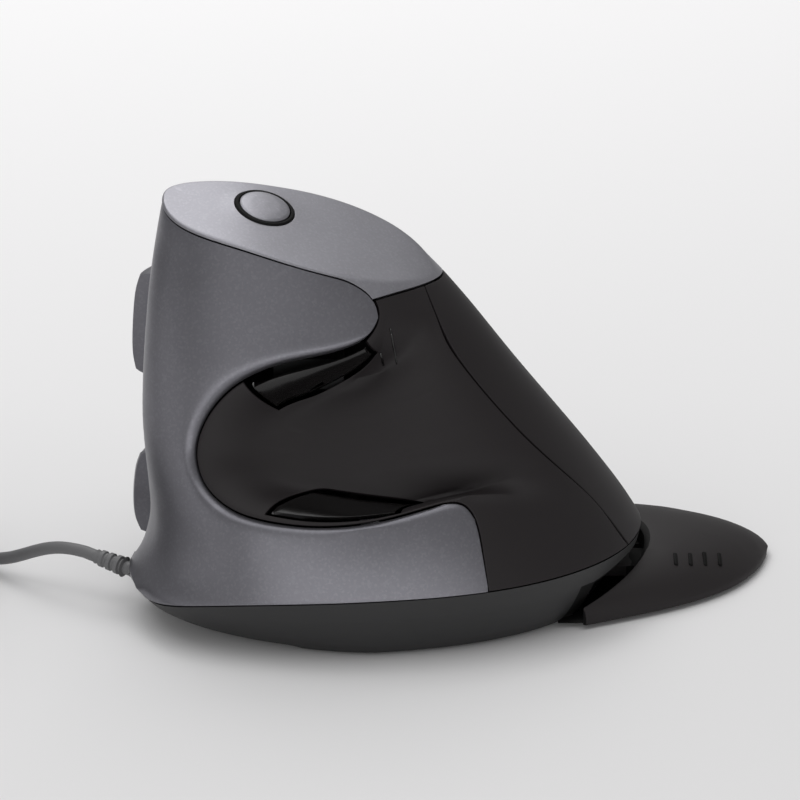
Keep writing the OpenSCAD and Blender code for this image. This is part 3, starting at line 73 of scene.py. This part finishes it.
# Cable: from the boot down to the desk, then a tied coil of four layers, millimetres and turns.
# The jacket is a hair thinner than the cable's own radius, so that it stays inside the cable's size.
cable = {
    "radius": 1.2,
    "jacket": 1.19,
    "roundness": 5,
    "smoothing": 4,
    "bootEnd": (-1.93128, 56.8341, 8.96782),
    "steps": [(0, 0), (0.7, 1.25), (1.4, 2.5), (2.8, 5), (4.3, 7.5), (5.8, 10), (7.4, 12.5), (9.1, 15),
              (10.8, 17.5), (12.6, 20), (14.4, 22.5), (16.3, 25), (18.2, 27.5), (20, 29.9), (21.8, 32.3),
              (23.6, 34.7)],
    "heights": [8.96782, 9.16782, 9.36782, 9.36782, 9, 8.2, 7, 5.6, 4.3, 3.3, 2.6],
    "deskHeight": 2.2,
    "coilMiddle": 14.16,
    "turns": 3.5,
    "layerChange": 0.5,
    "pointsPerTurn": 24,
    "step": 3.3,
    "rise": 3.05,
    "layers": 4,
    "startTurn": -36.87,
    "swingOut": 4.4,
    "swingTurns": 0.4,
    "dropAfter": 0.35,
    "dropTurns": 0.6,
    "plugHeight": 4.1,
    "plugLead": 12.0,
    "leadPoints": 4,
    "endPieces": ("cable_tie", "usb_plug_grip", "usb_plug_shell", "usb_plug_tongue"),
}


def ease(s):
    s = max(0.0, min(1.0, s))
    return s * s * (3 - 2 * s)


def freeStretch(c):
    points = []
    for k, (dx, dy) in enumerate(c["steps"]):
        z = c["heights"][k] if k < len(c["heights"]) else c["deskHeight"]
        points.append(Vector((c["bootEnd"][0] + dx, c["bootEnd"][1] + dy, max(c["deskHeight"], z))))
    return points


def coilRoute(c, start):
    outer = c["coilMiddle"] + c["step"] * c["turns"] / 2
    inner = c["coilMiddle"] - c["step"] * c["turns"] / 2
    a0 = math.radians(c["startTurn"])
    heading = Vector((-math.sin(a0), math.cos(a0), 0))
    first = start + 2 * c["radius"] * heading
    centre = first - outer * Vector((math.cos(a0), math.sin(a0), 0))
    layerTurns = c["turns"] + c["layerChange"]
    pileTurns = c["layers"] * layerTurns - c["layerChange"]
    top = c["deskHeight"] + c["rise"] * (c["layers"] - 1)
    points = []
    for k in range(round((pileTurns + 1) * c["pointsPerTurn"]) + 1):
        w = k / c["pointsPerTurn"]
        layer = min(c["layers"] - 1, int(w // layerTurns))
        along = w - layer * layerTurns
        spiral = min(c["turns"], along)
        if w <= pileTurns:
            r = outer - c["step"] * spiral if layer % 2 == 0 else inner + c["step"] * spiral
            z = c["deskHeight"] + c["rise"] * (layer + max(0, along - c["turns"]) / c["layerChange"])
        else:
            over = w - pileTurns
            r = outer + c["swingOut"] * ease(over / c["swingTurns"])
            z = top + (c["plugHeight"] - top) * ease((over - c["dropAfter"]) / c["dropTurns"])
        a = a0 + 2 * math.pi * w
        points.append(Vector((centre.x + r * math.cos(a), centre.y + r * math.sin(a), z)))
    a = a0 + 2 * math.pi * (pileTurns + 1)
    out = Vector((-math.sin(a), math.cos(a), 0))
    lead = [c["plugLead"] * k / c["leadPoints"] * out for k in range(1, c["leadPoints"] + 1)]
    return points + [points[-1] + stretch for stretch in lead]


def smoothRoute(points, n):
    out = []
    last = len(points) - 1
    for i in range(last):
        m0 = (points[i + 1] - points[max(i - 1, 0)]) / (2 if i > 0 else 1)
        m1 = (points[min(i + 2, last)] - points[i]) / (2 if i + 2 <= last else 1)
        for k in range(n):
            s = k / n
            out.append(points[i] * (2 * s**3 - 3 * s**2 + 1) + m0 * (s**3 - 2 * s**2 + s)
                       + points[i + 1] * (3 * s**2 - 2 * s**3) + m1 * (s**3 - s**2))
    return out + [points[last]]


def makeCable(c):
    free = freeStretch(c)
    route = smoothRoute(free, c["smoothing"]) + coilRoute(c, free[-1])
    data = bpy.data.curves.new("cableCord", "CURVE")
    data.dimensions = "3D"
    # Each point carries the jacket's radius, so the depth is one
    data.bevel_depth = 1.0
    data.bevel_resolution = c["roundness"]
    data.use_fill_caps = True
    spline = data.splines.new("POLY")
    spline.points.add(len(route) - 1)
    for point, place in zip(spline.points, route):
        point.co = (*(place / 1000), 1)
        point.radius = c["jacket"] / 1000
    cord = bpy.data.objects.new("cableCord", data)
    collection.objects.link(cord)
    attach(cord, "mouse")
    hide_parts("cable", "cable_coil")
    return cord


cableCord = makeCable(cable)

# Finishes: colours are linear, grain scales are per metre, grain depths are in millimetres
finishes = {
    # The shell and the cap are one paint: the shell's darker colour is painted shade
    "shellPaintShaded": {"colour": (0.15, 0.148, 0.164), "metallic": 0.85, "roughness": (0.36, 0.44),
                   "grain": 2600, "depth": 0.004, "flake": 0.16, "wear": 0.25},
    # The cap's paler colour of the same paint is painted light
    "capPaintLit": {"colour": (0.275, 0.272, 0.297), "metallic": 0.85, "roughness": (0.4, 0.47),
                 "grain": 2600, "depth": 0.003, "flake": 0.12, "wear": 0.25},
    "softTouch": {"colour": (0.0096, 0.0072, 0.008), "metallic": 0.0, "roughness": (0.52, 0.64),
                  "grain": 5200, "depth": 0.006, "flake": 0.0, "wear": 0.12, "specular": 0.32},
    "basePlastic": {"colour": (0.0165, 0.0165, 0.017), "metallic": 0.0, "roughness": (0.46, 0.6),
                    "grain": 2600, "depth": 0.012, "flake": 0.0, "wear": 0.15},
    # Palm rest: a reddish dark plastic, darkened further by painted shade of the hand
    "restPlasticShaded": {"colour": (0.0125, 0.01, 0.0106), "metallic": 0.0, "roughness": (0.52, 0.66),
                    "grain": 2600, "depth": 0.012, "flake": 0.0, "wear": 0.15, "specular": 0.32},
    # Near-black painted shade, for the groove, the gaps and the slots that lie in shadow
    "grooveBlack": {"colour": (0.0026, 0.0024, 0.0024), "metallic": 0.0, "roughness": (0.6, 0.72),
                    "grain": 2600, "depth": 0.01, "flake": 0.0, "wear": 0.0, "specular": 0.15},
    "glossBlack": {"colour": (0.0045, 0.004, 0.004), "metallic": 0.0, "roughness": (0.2, 0.28),
                   "grain": 900, "depth": 0.002, "flake": 0.0, "wear": 0.04},
    "tyreRubber": {"colour": (0.016, 0.016, 0.016), "metallic": 0.0, "roughness": (0.62, 0.78),
                   "grain": 3000, "depth": 0.02, "flake": 0.0, "wear": 0.15},
    "cableJacket": {"colour": (0.125, 0.125, 0.128), "metallic": 0.0, "roughness": (0.45, 0.58),
                    "grain": 2400, "depth": 0.008, "flake": 0.0, "wear": 0.1},
    "glideSheet": {"colour": (0.72, 0.72, 0.69), "metallic": 0.0, "roughness": (0.32, 0.44),
                   "grain": 1400, "depth": 0.006, "flake": 0.0, "wear": 0.0},
    "platedSteel": {"colour": (0.5, 0.5, 0.52), "metallic": 1.0, "roughness": (0.2, 0.36),
                    "grain": 1800, "depth": 0.003, "flake": 0.0, "wear": 0.1},
    "solderMask": {"colour": (0.008, 0.062, 0.024), "metallic": 0.0, "roughness": (0.28, 0.42),
                   "grain": 700, "depth": 0.01, "flake": 0.4, "wear": 0.0},
    "clearLens": {"colour": (0.6, 0.68, 0.72), "metallic": 0.0, "roughness": (0.06, 0.12),
                  "grain": 500, "depth": 0.001, "flake": 0.0, "wear": 0.0},
    "darkPlastic": {"colour": (0.012, 0.012, 0.0125), "metallic": 0.0, "roughness": (0.4, 0.54),
                    "grain": 3000, "depth": 0.01, "flake": 0.0, "wear": 0.08},
    "framePlastic": {"colour": (0.035, 0.035, 0.037), "metallic": 0.0, "roughness": (0.45, 0.6),
                     "grain": 2400, "depth": 0.01, "flake": 0.0, "wear": 0.1},
    "whitePlastic": {"colour": (0.66, 0.66, 0.6), "metallic": 0.0, "roughness": (0.38, 0.5),
                     "grain": 2200, "depth": 0.006, "flake": 0.0, "wear": 0.0},
    "redPlastic": {"colour": (0.42, 0.018, 0.012), "metallic": 0.0, "roughness": (0.35, 0.48),
                   "grain": 2200, "depth": 0.006, "flake": 0.0, "wear": 0.0},
}

# What all finishes share: tones as shares of a finish's own colour, noise scales per metre
surface = {
    "tones": (0.9, 1.1),
    "flakeTone": 1.9,
    "wearTone": 2.2,
    "bump": 0.6,
    "driftScale": 55.0,
    "wearScale": 420.0,
    "wearBend": (0.52, 0.62),
    "speckPower": 3.0,
}


def newGroup(name, inputs, outputs):
    group = bpy.data.node_groups.new(name, "ShaderNodeTree")
    for label, value in inputs:
        socket = group.interface.new_socket(label, in_out="INPUT", socket_type="NodeSocketFloat")
        socket.default_value = value
    for label in outputs:
        group.interface.new_socket(label, in_out="OUTPUT", socket_type="NodeSocketFloat")
    return group, group.nodes.new("NodeGroupInput"), group.nodes.new("NodeGroupOutput")


def mathNode(tree, operation, a, b):
    node = tree.nodes.new("ShaderNodeMath")
    node.operation = operation
    for socket, value in zip(node.inputs, (a, b)):
        if isinstance(value, (int, float)):
            socket.default_value = value
        else:
            tree.links.new(value, socket)
    return node.outputs[0]


def noiseNode(tree, vector, scale, detail):
    node = tree.nodes.new("ShaderNodeTexNoise")
    node.inputs["Detail"].default_value = detail
    tree.links.new(vector, node.inputs["Vector"])
    if isinstance(scale, (int, float)):
        node.inputs["Scale"].default_value = scale
    else:
        tree.links.new(scale, node.inputs["Scale"])
    return node.outputs["Fac"]


# Moulded grain: a fine height for the bump and a slow drift of tone
def makeGrainGroup():
    group, start, end = newGroup("mouldedGrain", [("Scale", 3000.0)], ["Height", "Drift"])
    place = group.nodes.new("ShaderNodeTexCoord").outputs["Object"]
    group.links.new(noiseNode(group, place, start.outputs["Scale"], 2.0), end.inputs["Height"])
    group.links.new(noiseNode(group, place, surface["driftScale"], 3.0), end.inputs["Drift"])
    return group


# Paint flakes: sparse bright specks
def makeFlakeGroup():
    group, start, end = newGroup("paintFlakes", [("Scale", 3000.0)], ["Specks"])
    place = group.nodes.new("ShaderNodeTexCoord").outputs["Object"]
    cells = group.nodes.new("ShaderNodeTexVoronoi")
    group.links.new(place, cells.inputs["Vector"])
    group.links.new(start.outputs["Scale"], cells.inputs["Scale"])
    split = group.nodes.new("ShaderNodeSeparateColor")
    group.links.new(cells.outputs["Color"], split.inputs["Color"])
    specks = mathNode(group, "POWER", split.outputs[0], surface["speckPower"])
    group.links.new(specks, end.inputs["Specks"])
    return group


# Edge wear: convex edges, broken up by noise
def makeWearGroup():
    group, start, end = newGroup("edgeWear", [("Amount", 0.2)], ["Mask"])
    place = group.nodes.new("ShaderNodeTexCoord").outputs["Object"]
    bend = group.nodes.new("ShaderNodeNewGeometry").outputs["Pointiness"]
    ramp = group.nodes.new("ShaderNodeMapRange")
    ramp.inputs["From Min"].default_value = surface["wearBend"][0]
    ramp.inputs["From Max"].default_value = surface["wearBend"][1]
    group.links.new(bend, ramp.inputs["Value"])
    patches = noiseNode(group, place, surface["wearScale"], 3.0)
    broken = mathNode(group, "MULTIPLY", ramp.outputs[0], patches)
    group.links.new(mathNode(group, "MULTIPLY", broken, start.outputs["Amount"]), end.inputs["Mask"])
    return group


grainGroup = makeGrainGroup()
flakeGroup = makeFlakeGroup()
wearGroup = makeWearGroup()


def placeGroup(tree, group, **values):
    node = tree.nodes.new("ShaderNodeGroup")
    node.node_tree = group
    for label, value in values.items():
        node.inputs[label].default_value = value
    return node


def mixColour(tree, share, a, b):
    node = tree.nodes.new("ShaderNodeMix")
    node.data_type = "RGBA"
    tree.links.new(share, node.inputs["Factor"])
    for socket, value in ((node.inputs[6], a), (node.inputs[7], b)):
        if isinstance(value, tuple):
            socket.default_value = (*value, 1)
        else:
            tree.links.new(value, socket)
    return node.outputs[2]


def brighter(colour, by):
    return tuple(min(1.0, c * by) for c in colour)


def makeFinish(name, f):
    material = bpy.data.materials.new(name)
    material.use_nodes = True
    tree = material.node_tree
    shader = tree.nodes["Principled BSDF"]
    shader.inputs["Metallic"].default_value = f["metallic"]
    shader.inputs["Specular IOR Level"].default_value = f.get("specular", 0.5)
    grain = placeGroup(tree, grainGroup, Scale=f["grain"])
    darker, paler = (brighter(f["colour"], tone) for tone in surface["tones"])
    colour = mixColour(tree, grain.outputs["Drift"], darker, paler)
    if f["flake"]:
        flakes = placeGroup(tree, flakeGroup, Scale=f["grain"])
        share = mathNode(tree, "MULTIPLY", flakes.outputs["Specks"], f["flake"])
        colour = mixColour(tree, share, colour, brighter(f["colour"], surface["flakeTone"]))
    if f["wear"]:
        wear = placeGroup(tree, wearGroup, Amount=f["wear"])
        colour = mixColour(tree, wear.outputs["Mask"], colour, brighter(f["colour"], surface["wearTone"]))
    tree.links.new(colour, shader.inputs["Base Color"])
    rough = tree.nodes.new("ShaderNodeMapRange")
    rough.inputs["To Min"].default_value = f["roughness"][0]
    rough.inputs["To Max"].default_value = f["roughness"][1]
    tree.links.new(grain.outputs["Drift"], rough.inputs["Value"])
    tree.links.new(rough.outputs[0], shader.inputs["Roughness"])
    bump = tree.nodes.new("ShaderNodeBump")
    bump.inputs["Strength"].default_value = surface["bump"]
    bump.inputs["Distance"].default_value = f["depth"] / 1000
    tree.links.new(grain.outputs["Height"], bump.inputs["Height"])
    tree.links.new(bump.outputs["Normal"], shader.inputs["Normal"])
    return material


paint = {name: makeFinish(name, f) for name, f in finishes.items()}
print("finishes", len(paint))

# Finish of each material slot, and of three nodes that differ from their slot
slotFinish = {
    "shell_paint": "shellPaintShaded",
    "cap_paint": "capPaintLit",
    "soft_panel": "softTouch",
    "base_plastic": "basePlastic",
    "gloss_black": "glossBlack",
    "glide": "glideSheet",
    "steel": "platedSteel",
    "board_green": "solderMask",
    "clear_plastic": "clearLens",
    "black_plastic": "darkPlastic",
    "frame_plastic": "framePlastic",
    "white_plastic": "whitePlastic",
    "red_plastic": "redPlastic",
    "tyre_rubber": "tyreRubber",
    "cable_rubber": "cableJacket",
}
# The DPI ring bezel and the thumb board are near-black as painted shade of the gaps they are seen through
nodeFinish = {"dpi_ring_bezel": "grooveBlack", "strain_relief": "cableJacket", "thumb_board": "grooveBlack"}
slotOf = {part["node"]: part["material_slot"] for part in frame["record"]["subparts"]}


def coat(piece, finish):
    piece.data.materials.clear()
    piece.data.materials.append(paint[finish])


for nodeName, node in nodes.items():
    coat(node, nodeFinish.get(nodeName, slotFinish[slotOf[nodeName]]))
coat(cableCord, "cableJacket")

# How every moulding is made: lengths in millimetres, angles in degrees
moulding = {"weld": 0.002, "joinAngle": 35, "joinShape": 75, "rimAngle": 40, "rimSegments": 2, "levels": 2}

# Visible mouldings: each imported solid, merged, with its rims rounded and its surface subdivided, millimetres.
# A tuck moves the corners inside a box towards the middle of the mouse.
mouldings = {
    "thumbSideShell": {"node": "left_shell", "body": "mouse", "rim": 0.3},
    "capCover": {"node": "top_cover", "body": "mouse", "rim": 0.14},
    "thumbPanel": {"node": "thumb_panel", "body": "mouse", "rim": 0.2},
    "palmCover": {"node": "palm_cover", "body": "mouse", "rim": 0.2},
    "wheelPanel": {"node": "wheel_panel", "body": "mouse", "rim": 0.2},
    # The groove entry names which faces of a moulding get near-black painted shade
    "baseTray": {"node": "base", "body": "mouse", "rim": 0.12, "groove": "step"},
    "leftButton": {"node": "left_click_button", "body": "left_click", "rim": 0.28},
    "rightButton": {"node": "right_click_button", "body": "right_click", "rim": 0.28},
    "forwardButton": {"node": "forward_button", "body": "forward", "rim": 0.15, "tuck": [
        {"low": (-13.1, 15.1, 46.1), "high": (-12.9, 16.3, 47.0), "by": 3.0},
        {"low": (-15.6, 26.1, 47.2), "high": (-15.4, 26.9, 48.1), "by": 2.0}]},
    "backButton": {"node": "back_button", "body": "back", "rim": 0.15},
    "capButton": {"node": "dpi_button", "body": "dpi", "rim": 0.1},
    # The palm rest takes the plastic darkened with painted shade
    "palmRest": {"node": "palm_rest", "body": "rest", "rim": 0.2, "finish": "restPlasticShaded", "groove": "front"},
}


# Groove between the base and the palm rest, whose faces are painted near-black as shade: how they lean, and
# where they lie, metres and degrees
groove = {"forward": 0.35, "behind": -0.02, "downward": -0.85, "above": 0.003, "within": 4, "slack": 0.0001}


# Faces in the groove that get near-black painted shade: under the base's step, and on the rest's front
def findShadedGrooveFaces(bm, side, g):
    if side == "front":
        return [face for face in bm.faces if face.normal.y > g["forward"]]
    middles = [(face, face.calc_center_median()) for face in bm.faces]
    rear = [(face, c, math.atan2(c.y, c.x)) for face, c in middles if c.y < g["behind"]]
    step = [(turn, c.z) for face, c, turn in rear if face.normal.z < g["downward"] and c.z > g["above"]]
    found = []
    for face, c, turn in rear:
        near = min(step, key=lambda item: abs(item[0] - turn), default=None)
        if near and abs(near[0] - turn) < math.radians(g["within"]) and c.z < near[1] + g["slack"]:
            found.append(face)
    return found


def makeMoulding(name, m, way):
    bm = bmesh.new()
    bm.from_mesh(nodes[m["node"]].data)
    bmesh.ops.remove_doubles(bm, verts=bm.verts, dist=way["weld"] / 1000)
    for box in m.get("tuck", []):
        for vert in bm.verts:
            if all(lo < c * 1000 < hi for lo, c, hi in zip(box["low"], vert.co, box["high"])):
                vert.co.x += box["by"] / 1000
    bmesh.ops.join_triangles(bm, faces=bm.faces, angle_face_threshold=math.radians(way["joinAngle"]),
                             angle_shape_threshold=math.radians(way["joinShape"]))
    sharp = math.radians(way["rimAngle"])
    rims = [e for e in bm.edges if len(e.link_faces) == 2 and e.calc_face_angle() > sharp]
    bmesh.ops.bevel(bm, geom=rims, offset=m["rim"] / 1000, offset_type="OFFSET", affect="EDGES",
                    segments=way["rimSegments"], profile=0.5, material=-1, clamp_overlap=True)
    for face in bm.faces:
        face.smooth = True
    bm.faces.index_update()
    shadedGrooveFaces = [face.index for face in findShadedGrooveFaces(bm, m["groove"], groove)] if "groove" in m else []
    data = bpy.data.meshes.new(name)
    bm.to_mesh(data)
    bm.free()
    piece = bpy.data.objects.new(name, data)
    collection.objects.link(piece)
    rounding = piece.modifiers.new("rounding", "SUBSURF")
    rounding.levels = rounding.render_levels = way["levels"]
    coat(piece, m.get("finish", slotFinish[slotOf[m["node"]]]))
    # Faces in the groove take the near-black painted shade as a second material
    if shadedGrooveFaces:
        data.materials.append(paint["grooveBlack"])
    for index in shadedGrooveFaces:
        data.polygons[index].material_index = 1
    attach(piece, m["body"])
    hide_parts(m["node"])


for mouldingName, mouldingSizes in mouldings.items():
    makeMoulding(mouldingName, mouldingSizes, moulding)
print("mouldings", len(mouldings))


def surfaceOf(nodeName):
    data = nodes[nodeName].data
    return BVHTree.FromPolygons([v.co for v in data.vertices], [p.vertices for p in data.polygons])


def addPiece(name, bm, body, finish):
    for face in bm.faces:
        face.smooth = True
    data = bpy.data.meshes.new(name)
    bm.to_mesh(data)
    bm.free()
    piece = bpy.data.objects.new(name, data)
    collection.objects.link(piece)
    coat(piece, finish)
    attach(piece, body)


# Closed skin over rings that have the same number of corners
def skinRings(bm, rings):
    count = len(rings[0])
    for one, two in zip(rings, rings[1:]):
        for k in range(count):
            n = (k + 1) % count
            bm.faces.new((one[k], one[n], two[n], two[k]))
    bm.faces.new(rings[0][::-1])
    bm.faces.new(rings[-1])
    bmesh.ops.recalc_face_normals(bm, faces=bm.faces)


# Grip marks on the palm rest: four short bars side by side, sunk into its top and near-black as painted shade
# of their slots, millimetres
gripMarks = {
    "middles": [(-0.4, -51.9), (0.9, -54.8), (2.5, -57.7), (4.5, -60.7)],
    "size": (3.4, 0.8, 0.6),
    "proud": 0.14,
    "round": 0.22,
    "roundSegments": 3,
    "above": 40,
}


def makeGripMarks(g):
    top = surfaceOf("palm_rest")
    bm = bmesh.new()
    for x, y in g["middles"]:
        hit, normal, index, far = top.ray_cast(Vector((x, y, g["above"])) / 1000, Vector((0, 0, -1)))
        across = Vector((0, 1, 0)).cross(normal).normalized()
        frameAt = Matrix((across, normal.cross(across), normal)).transposed().to_4x4()
        frameAt.translation = hit + normal * (g["proud"] - g["size"][2] / 2) / 1000
        made = bmesh.ops.create_cube(bm, size=1)["verts"]
        bmesh.ops.scale(bm, vec=Vector(g["size"]) / 1000, verts=made)
        bmesh.ops.transform(bm, matrix=frameAt, verts=made)
    bmesh.ops.bevel(bm, geom=bm.edges[:], offset=g["round"] / 1000, offset_type="OFFSET", affect="EDGES",
                    segments=g["roundSegments"], profile=0.5, material=-1)
    addPiece("palmRestShadedGripMarks", bm, "rest", "grooveBlack")


# Ribs on the thumb panel behind the upper button: two short raised lines, black as painted shade of its grip
# grooves, as (y, z) along each, millimetres
panelRibs = {
    "lines": [[(1.7, 56.9), (1.4, 55), (1.1, 53), (0.8, 51), (0.6, 49.4)],
              [(3.5, 52.2), (3.3, 51), (3, 49.4)]],
    "radius": 0.26,
    "sides": 8,
    "sunk": 0.1,
    "outside": -60,
}


def makePanelRibs(r):
    wall = surfaceOf("thumb_panel")
    bm = bmesh.new()
    for line in r["lines"]:
        rings = []
        for y, z in line:
            hit, normal, index, far = wall.ray_cast(Vector((r["outside"], y, z)) / 1000, Vector((1, 0, 0)))
            across = Vector((0, 0, 1)).cross(normal).normalized()
            middle = hit - normal * r["sunk"] / 1000
            ring = []
            for k in range(r["sides"]):
                a = 2 * math.pi * k / r["sides"]
                spoke = (across * math.cos(a) + normal * math.sin(a)) * r["radius"] / 1000
                ring.append(bm.verts.new(middle + spoke))
            rings.append(ring)
        skinRings(bm, rings)
    # The ribs' glossy black is painted shade of the grooves
    addPiece("thumbPanelShadedRibs", bm, "mouse", "glossBlack")


# Lip under the rear edge of the cap, behind its seam with the panel and the palm cover, millimetres
seamLip = {
    "places": [(-9, 4.6, 61.7), (-8.1, 2.9, 62.2), (-7.1, 1.4, 62.4), (-6, 0, 62.6), (-4.5, -1.8, 62.7),
               (-2.6, -3.6, 62.8), (0, -5.5, 62.7), (2.6, -7, 62.4), (5.1, -7.7, 62.3)],
    "outward": [(-0.8, -0.36, 0.48), (-0.77, -0.4, 0.5), (-0.71, -0.46, 0.53), (-0.69, -0.48, 0.54),
                (-0.62, -0.53, 0.58), (-0.5, -0.52, 0.69), (-0.36, -0.62, 0.69), (-0.23, -0.7, 0.67),
                (-0.12, -0.72, 0.68)],
    "depth": 2.5,
    "width": 4.0,
    "thick": 0.8,
}


def makeSeamLip(lip):
    places = [Vector(p) / 1000 for p in lip["places"]]
    last = len(places) - 1
    bm = bmesh.new()
    rings = []
    for k, place in enumerate(places):
        out = Vector(lip["outward"][k]).normalized()
        along = (places[min(k + 1, last)] - places[max(k - 1, 0)]).normalized()
        across = along.cross(out).normalized() * lip["width"] / 2000
        half = out * lip["thick"] / 2000
        middle = place - out * lip["depth"] / 1000
        corners = (-across - half, across - half, across + half, half - across)
        rings.append([bm.verts.new(middle + corner) for corner in corners])
    skinRings(bm, rings)
    addPiece("capSeamLip", bm, "mouse", "darkPlastic")


# Flange at the foot of the palm rest's front, which closes the groove from below and is near-black as painted
# shade, millimetres
restFlange = {
    "across": [-15, -12, -9, -6, -3, 0, 3, 6, 9, 12, 15, 18],
    "low": 1.05,
    "high": 1.6,
    "gap": 0.4,
    "rooted": 0.6,
    "reach": 9.0,
    "behind": -90,
    "between": -25,
}


def makeRestFlange(flange):
    tray = surfaceOf("base")
    rest = surfaceOf("palm_rest")
    bm = bmesh.new()
    rings = []
    for x in flange["across"]:
        height = flange["high"]
        wall = tray.ray_cast(Vector((x, flange["behind"], height)) / 1000, Vector((0, 1, 0)))[0].y
        front = rest.ray_cast(Vector((x, flange["between"], height)) / 1000, Vector((0, -1, 0)))[0].y
        root = front - flange["rooted"] / 1000
        tip = min(wall - flange["gap"] / 1000, front + flange["reach"] / 1000)
        corners = ((tip, flange["low"]), (root, flange["low"]), (root, height), (tip, height))
        rings.append([bm.verts.new((x / 1000, y, z / 1000)) for y, z in corners])
    skinRings(bm, rings)
    addPiece("palmRestShadeFlange", bm, "rest", "grooveBlack")


makeGripMarks(gripMarks)
makePanelRibs(panelRibs)
makeSeamLip(seamLip)
makeRestFlange(restFlange)
print("marks, ribs, lip and flange")

# Pale floor whose colour brightens towards the back as painted light, and soft light from above
studio = {
    "floorSize": 5.0,
    "floorRoughness": 0.9,
    "floorTint": (1.0, 0.995, 1.0),
    # Floor colour along x, from front to back: paler towards the back as painted light
    "floorPaintedLightTones": [(-0.12, 0.75), (0.0, 0.775), (0.108, 0.85), (0.5, 1.0)],
    "skyColour": (1.0, 1.0, 1.0),
    "skyStrength": 0.36,
    "lamps": [
        {"name": "topSoftbox", "place": (-0.1, 0.15, 1.2), "lookAt": (0.0, 0.0, 0.0),
         "size": (1.5, 1.3), "power": 7.6},
        {"name": "backSoftbox", "place": (0.78, 0.16, 0.98), "lookAt": (0.0, 0.0, 0.05),
         "size": (0.8, 0.7), "power": 4.0},
        {"name": "lowStrip", "place": (-0.42, 0.01, 0.075), "lookAt": (-0.03, 0.01, 0.02),
         "size": (0.6, 0.06), "power": 0.5},
        {"name": "noseFill", "place": (-0.2, 0.55, 0.07), "lookAt": (0.0, 0.04, 0.02),
         "size": (0.4, 0.12), "power": 0.12},
        {"name": "sideFill", "place": (-0.75, 0.3, 0.6), "lookAt": (0.0, 0.0, 0.03),
         "size": (0.5, 0.45), "power": 0.25},
    ],
}


def makeFloor(s):
    bm = bmesh.new()
    bmesh.ops.create_grid(bm, x_segments=1, y_segments=1, size=s["floorSize"] / 2)
    data = bpy.data.meshes.new("studioFloor")
    bm.to_mesh(data)
    bm.free()
    floor = bpy.data.objects.new("studioFloor", data)
    collection.objects.link(floor)
    material = bpy.data.materials.new("floorPaper")
    material.use_nodes = True
    tree = material.node_tree
    shader = tree.nodes["Principled BSDF"]
    shader.inputs["Roughness"].default_value = s["floorRoughness"]
    shader.inputs["Specular IOR Level"].default_value = 0.0
    split = tree.nodes.new("ShaderNodeSeparateXYZ")
    tree.links.new(tree.nodes.new("ShaderNodeTexCoord").outputs["Object"], split.inputs[0])
    low, high = s["floorPaintedLightTones"][0][0], s["floorPaintedLightTones"][-1][0]
    reach = tree.nodes.new("ShaderNodeMapRange")
    reach.inputs["From Min"].default_value = low
    reach.inputs["From Max"].default_value = high
    tree.links.new(split.outputs["X"], reach.inputs["Value"])
    ramp = tree.nodes.new("ShaderNodeValToRGB")
    tree.links.new(reach.outputs[0], ramp.inputs["Fac"])
    while len(ramp.color_ramp.elements) < len(s["floorPaintedLightTones"]):
        ramp.color_ramp.elements.new(0.5)
    for element, (place, tone) in zip(ramp.color_ramp.elements, s["floorPaintedLightTones"]):
        element.position = (place - low) / (high - low)
        element.color = (*(tone * share for share in s["floorTint"]), 1)
    tree.links.new(ramp.outputs["Color"], shader.inputs["Base Color"])
    floor.data.materials.append(material)


def makeLamps(s):
    world = bpy.data.worlds.new("studioSky")
    world.use_nodes = True
    sky = world.node_tree.nodes["Background"]
    sky.inputs["Color"].default_value = (*s["skyColour"], 1)
    sky.inputs["Strength"].default_value = s["skyStrength"]
    bpy.context.scene.world = world
    for lamp in s["lamps"]:
        data = bpy.data.lights.new(lamp["name"], "AREA")
        data.shape = "RECTANGLE"
        data.size, data.size_y = lamp["size"]
        data.energy = lamp["power"]
        light = bpy.data.objects.new(lamp["name"], data)
        collection.objects.link(light)
        light.location = lamp["place"]
        toward = Vector(lamp["lookAt"]) - Vector(lamp["place"])
        light.rotation_mode = "QUATERNION"
        light.rotation_quaternion = toward.to_track_quat("-Z", "Y")


makeFloor(studio)
makeLamps(studio)
bpy.context.scene.view_settings.view_transform = "Standard"
print("studio ready")
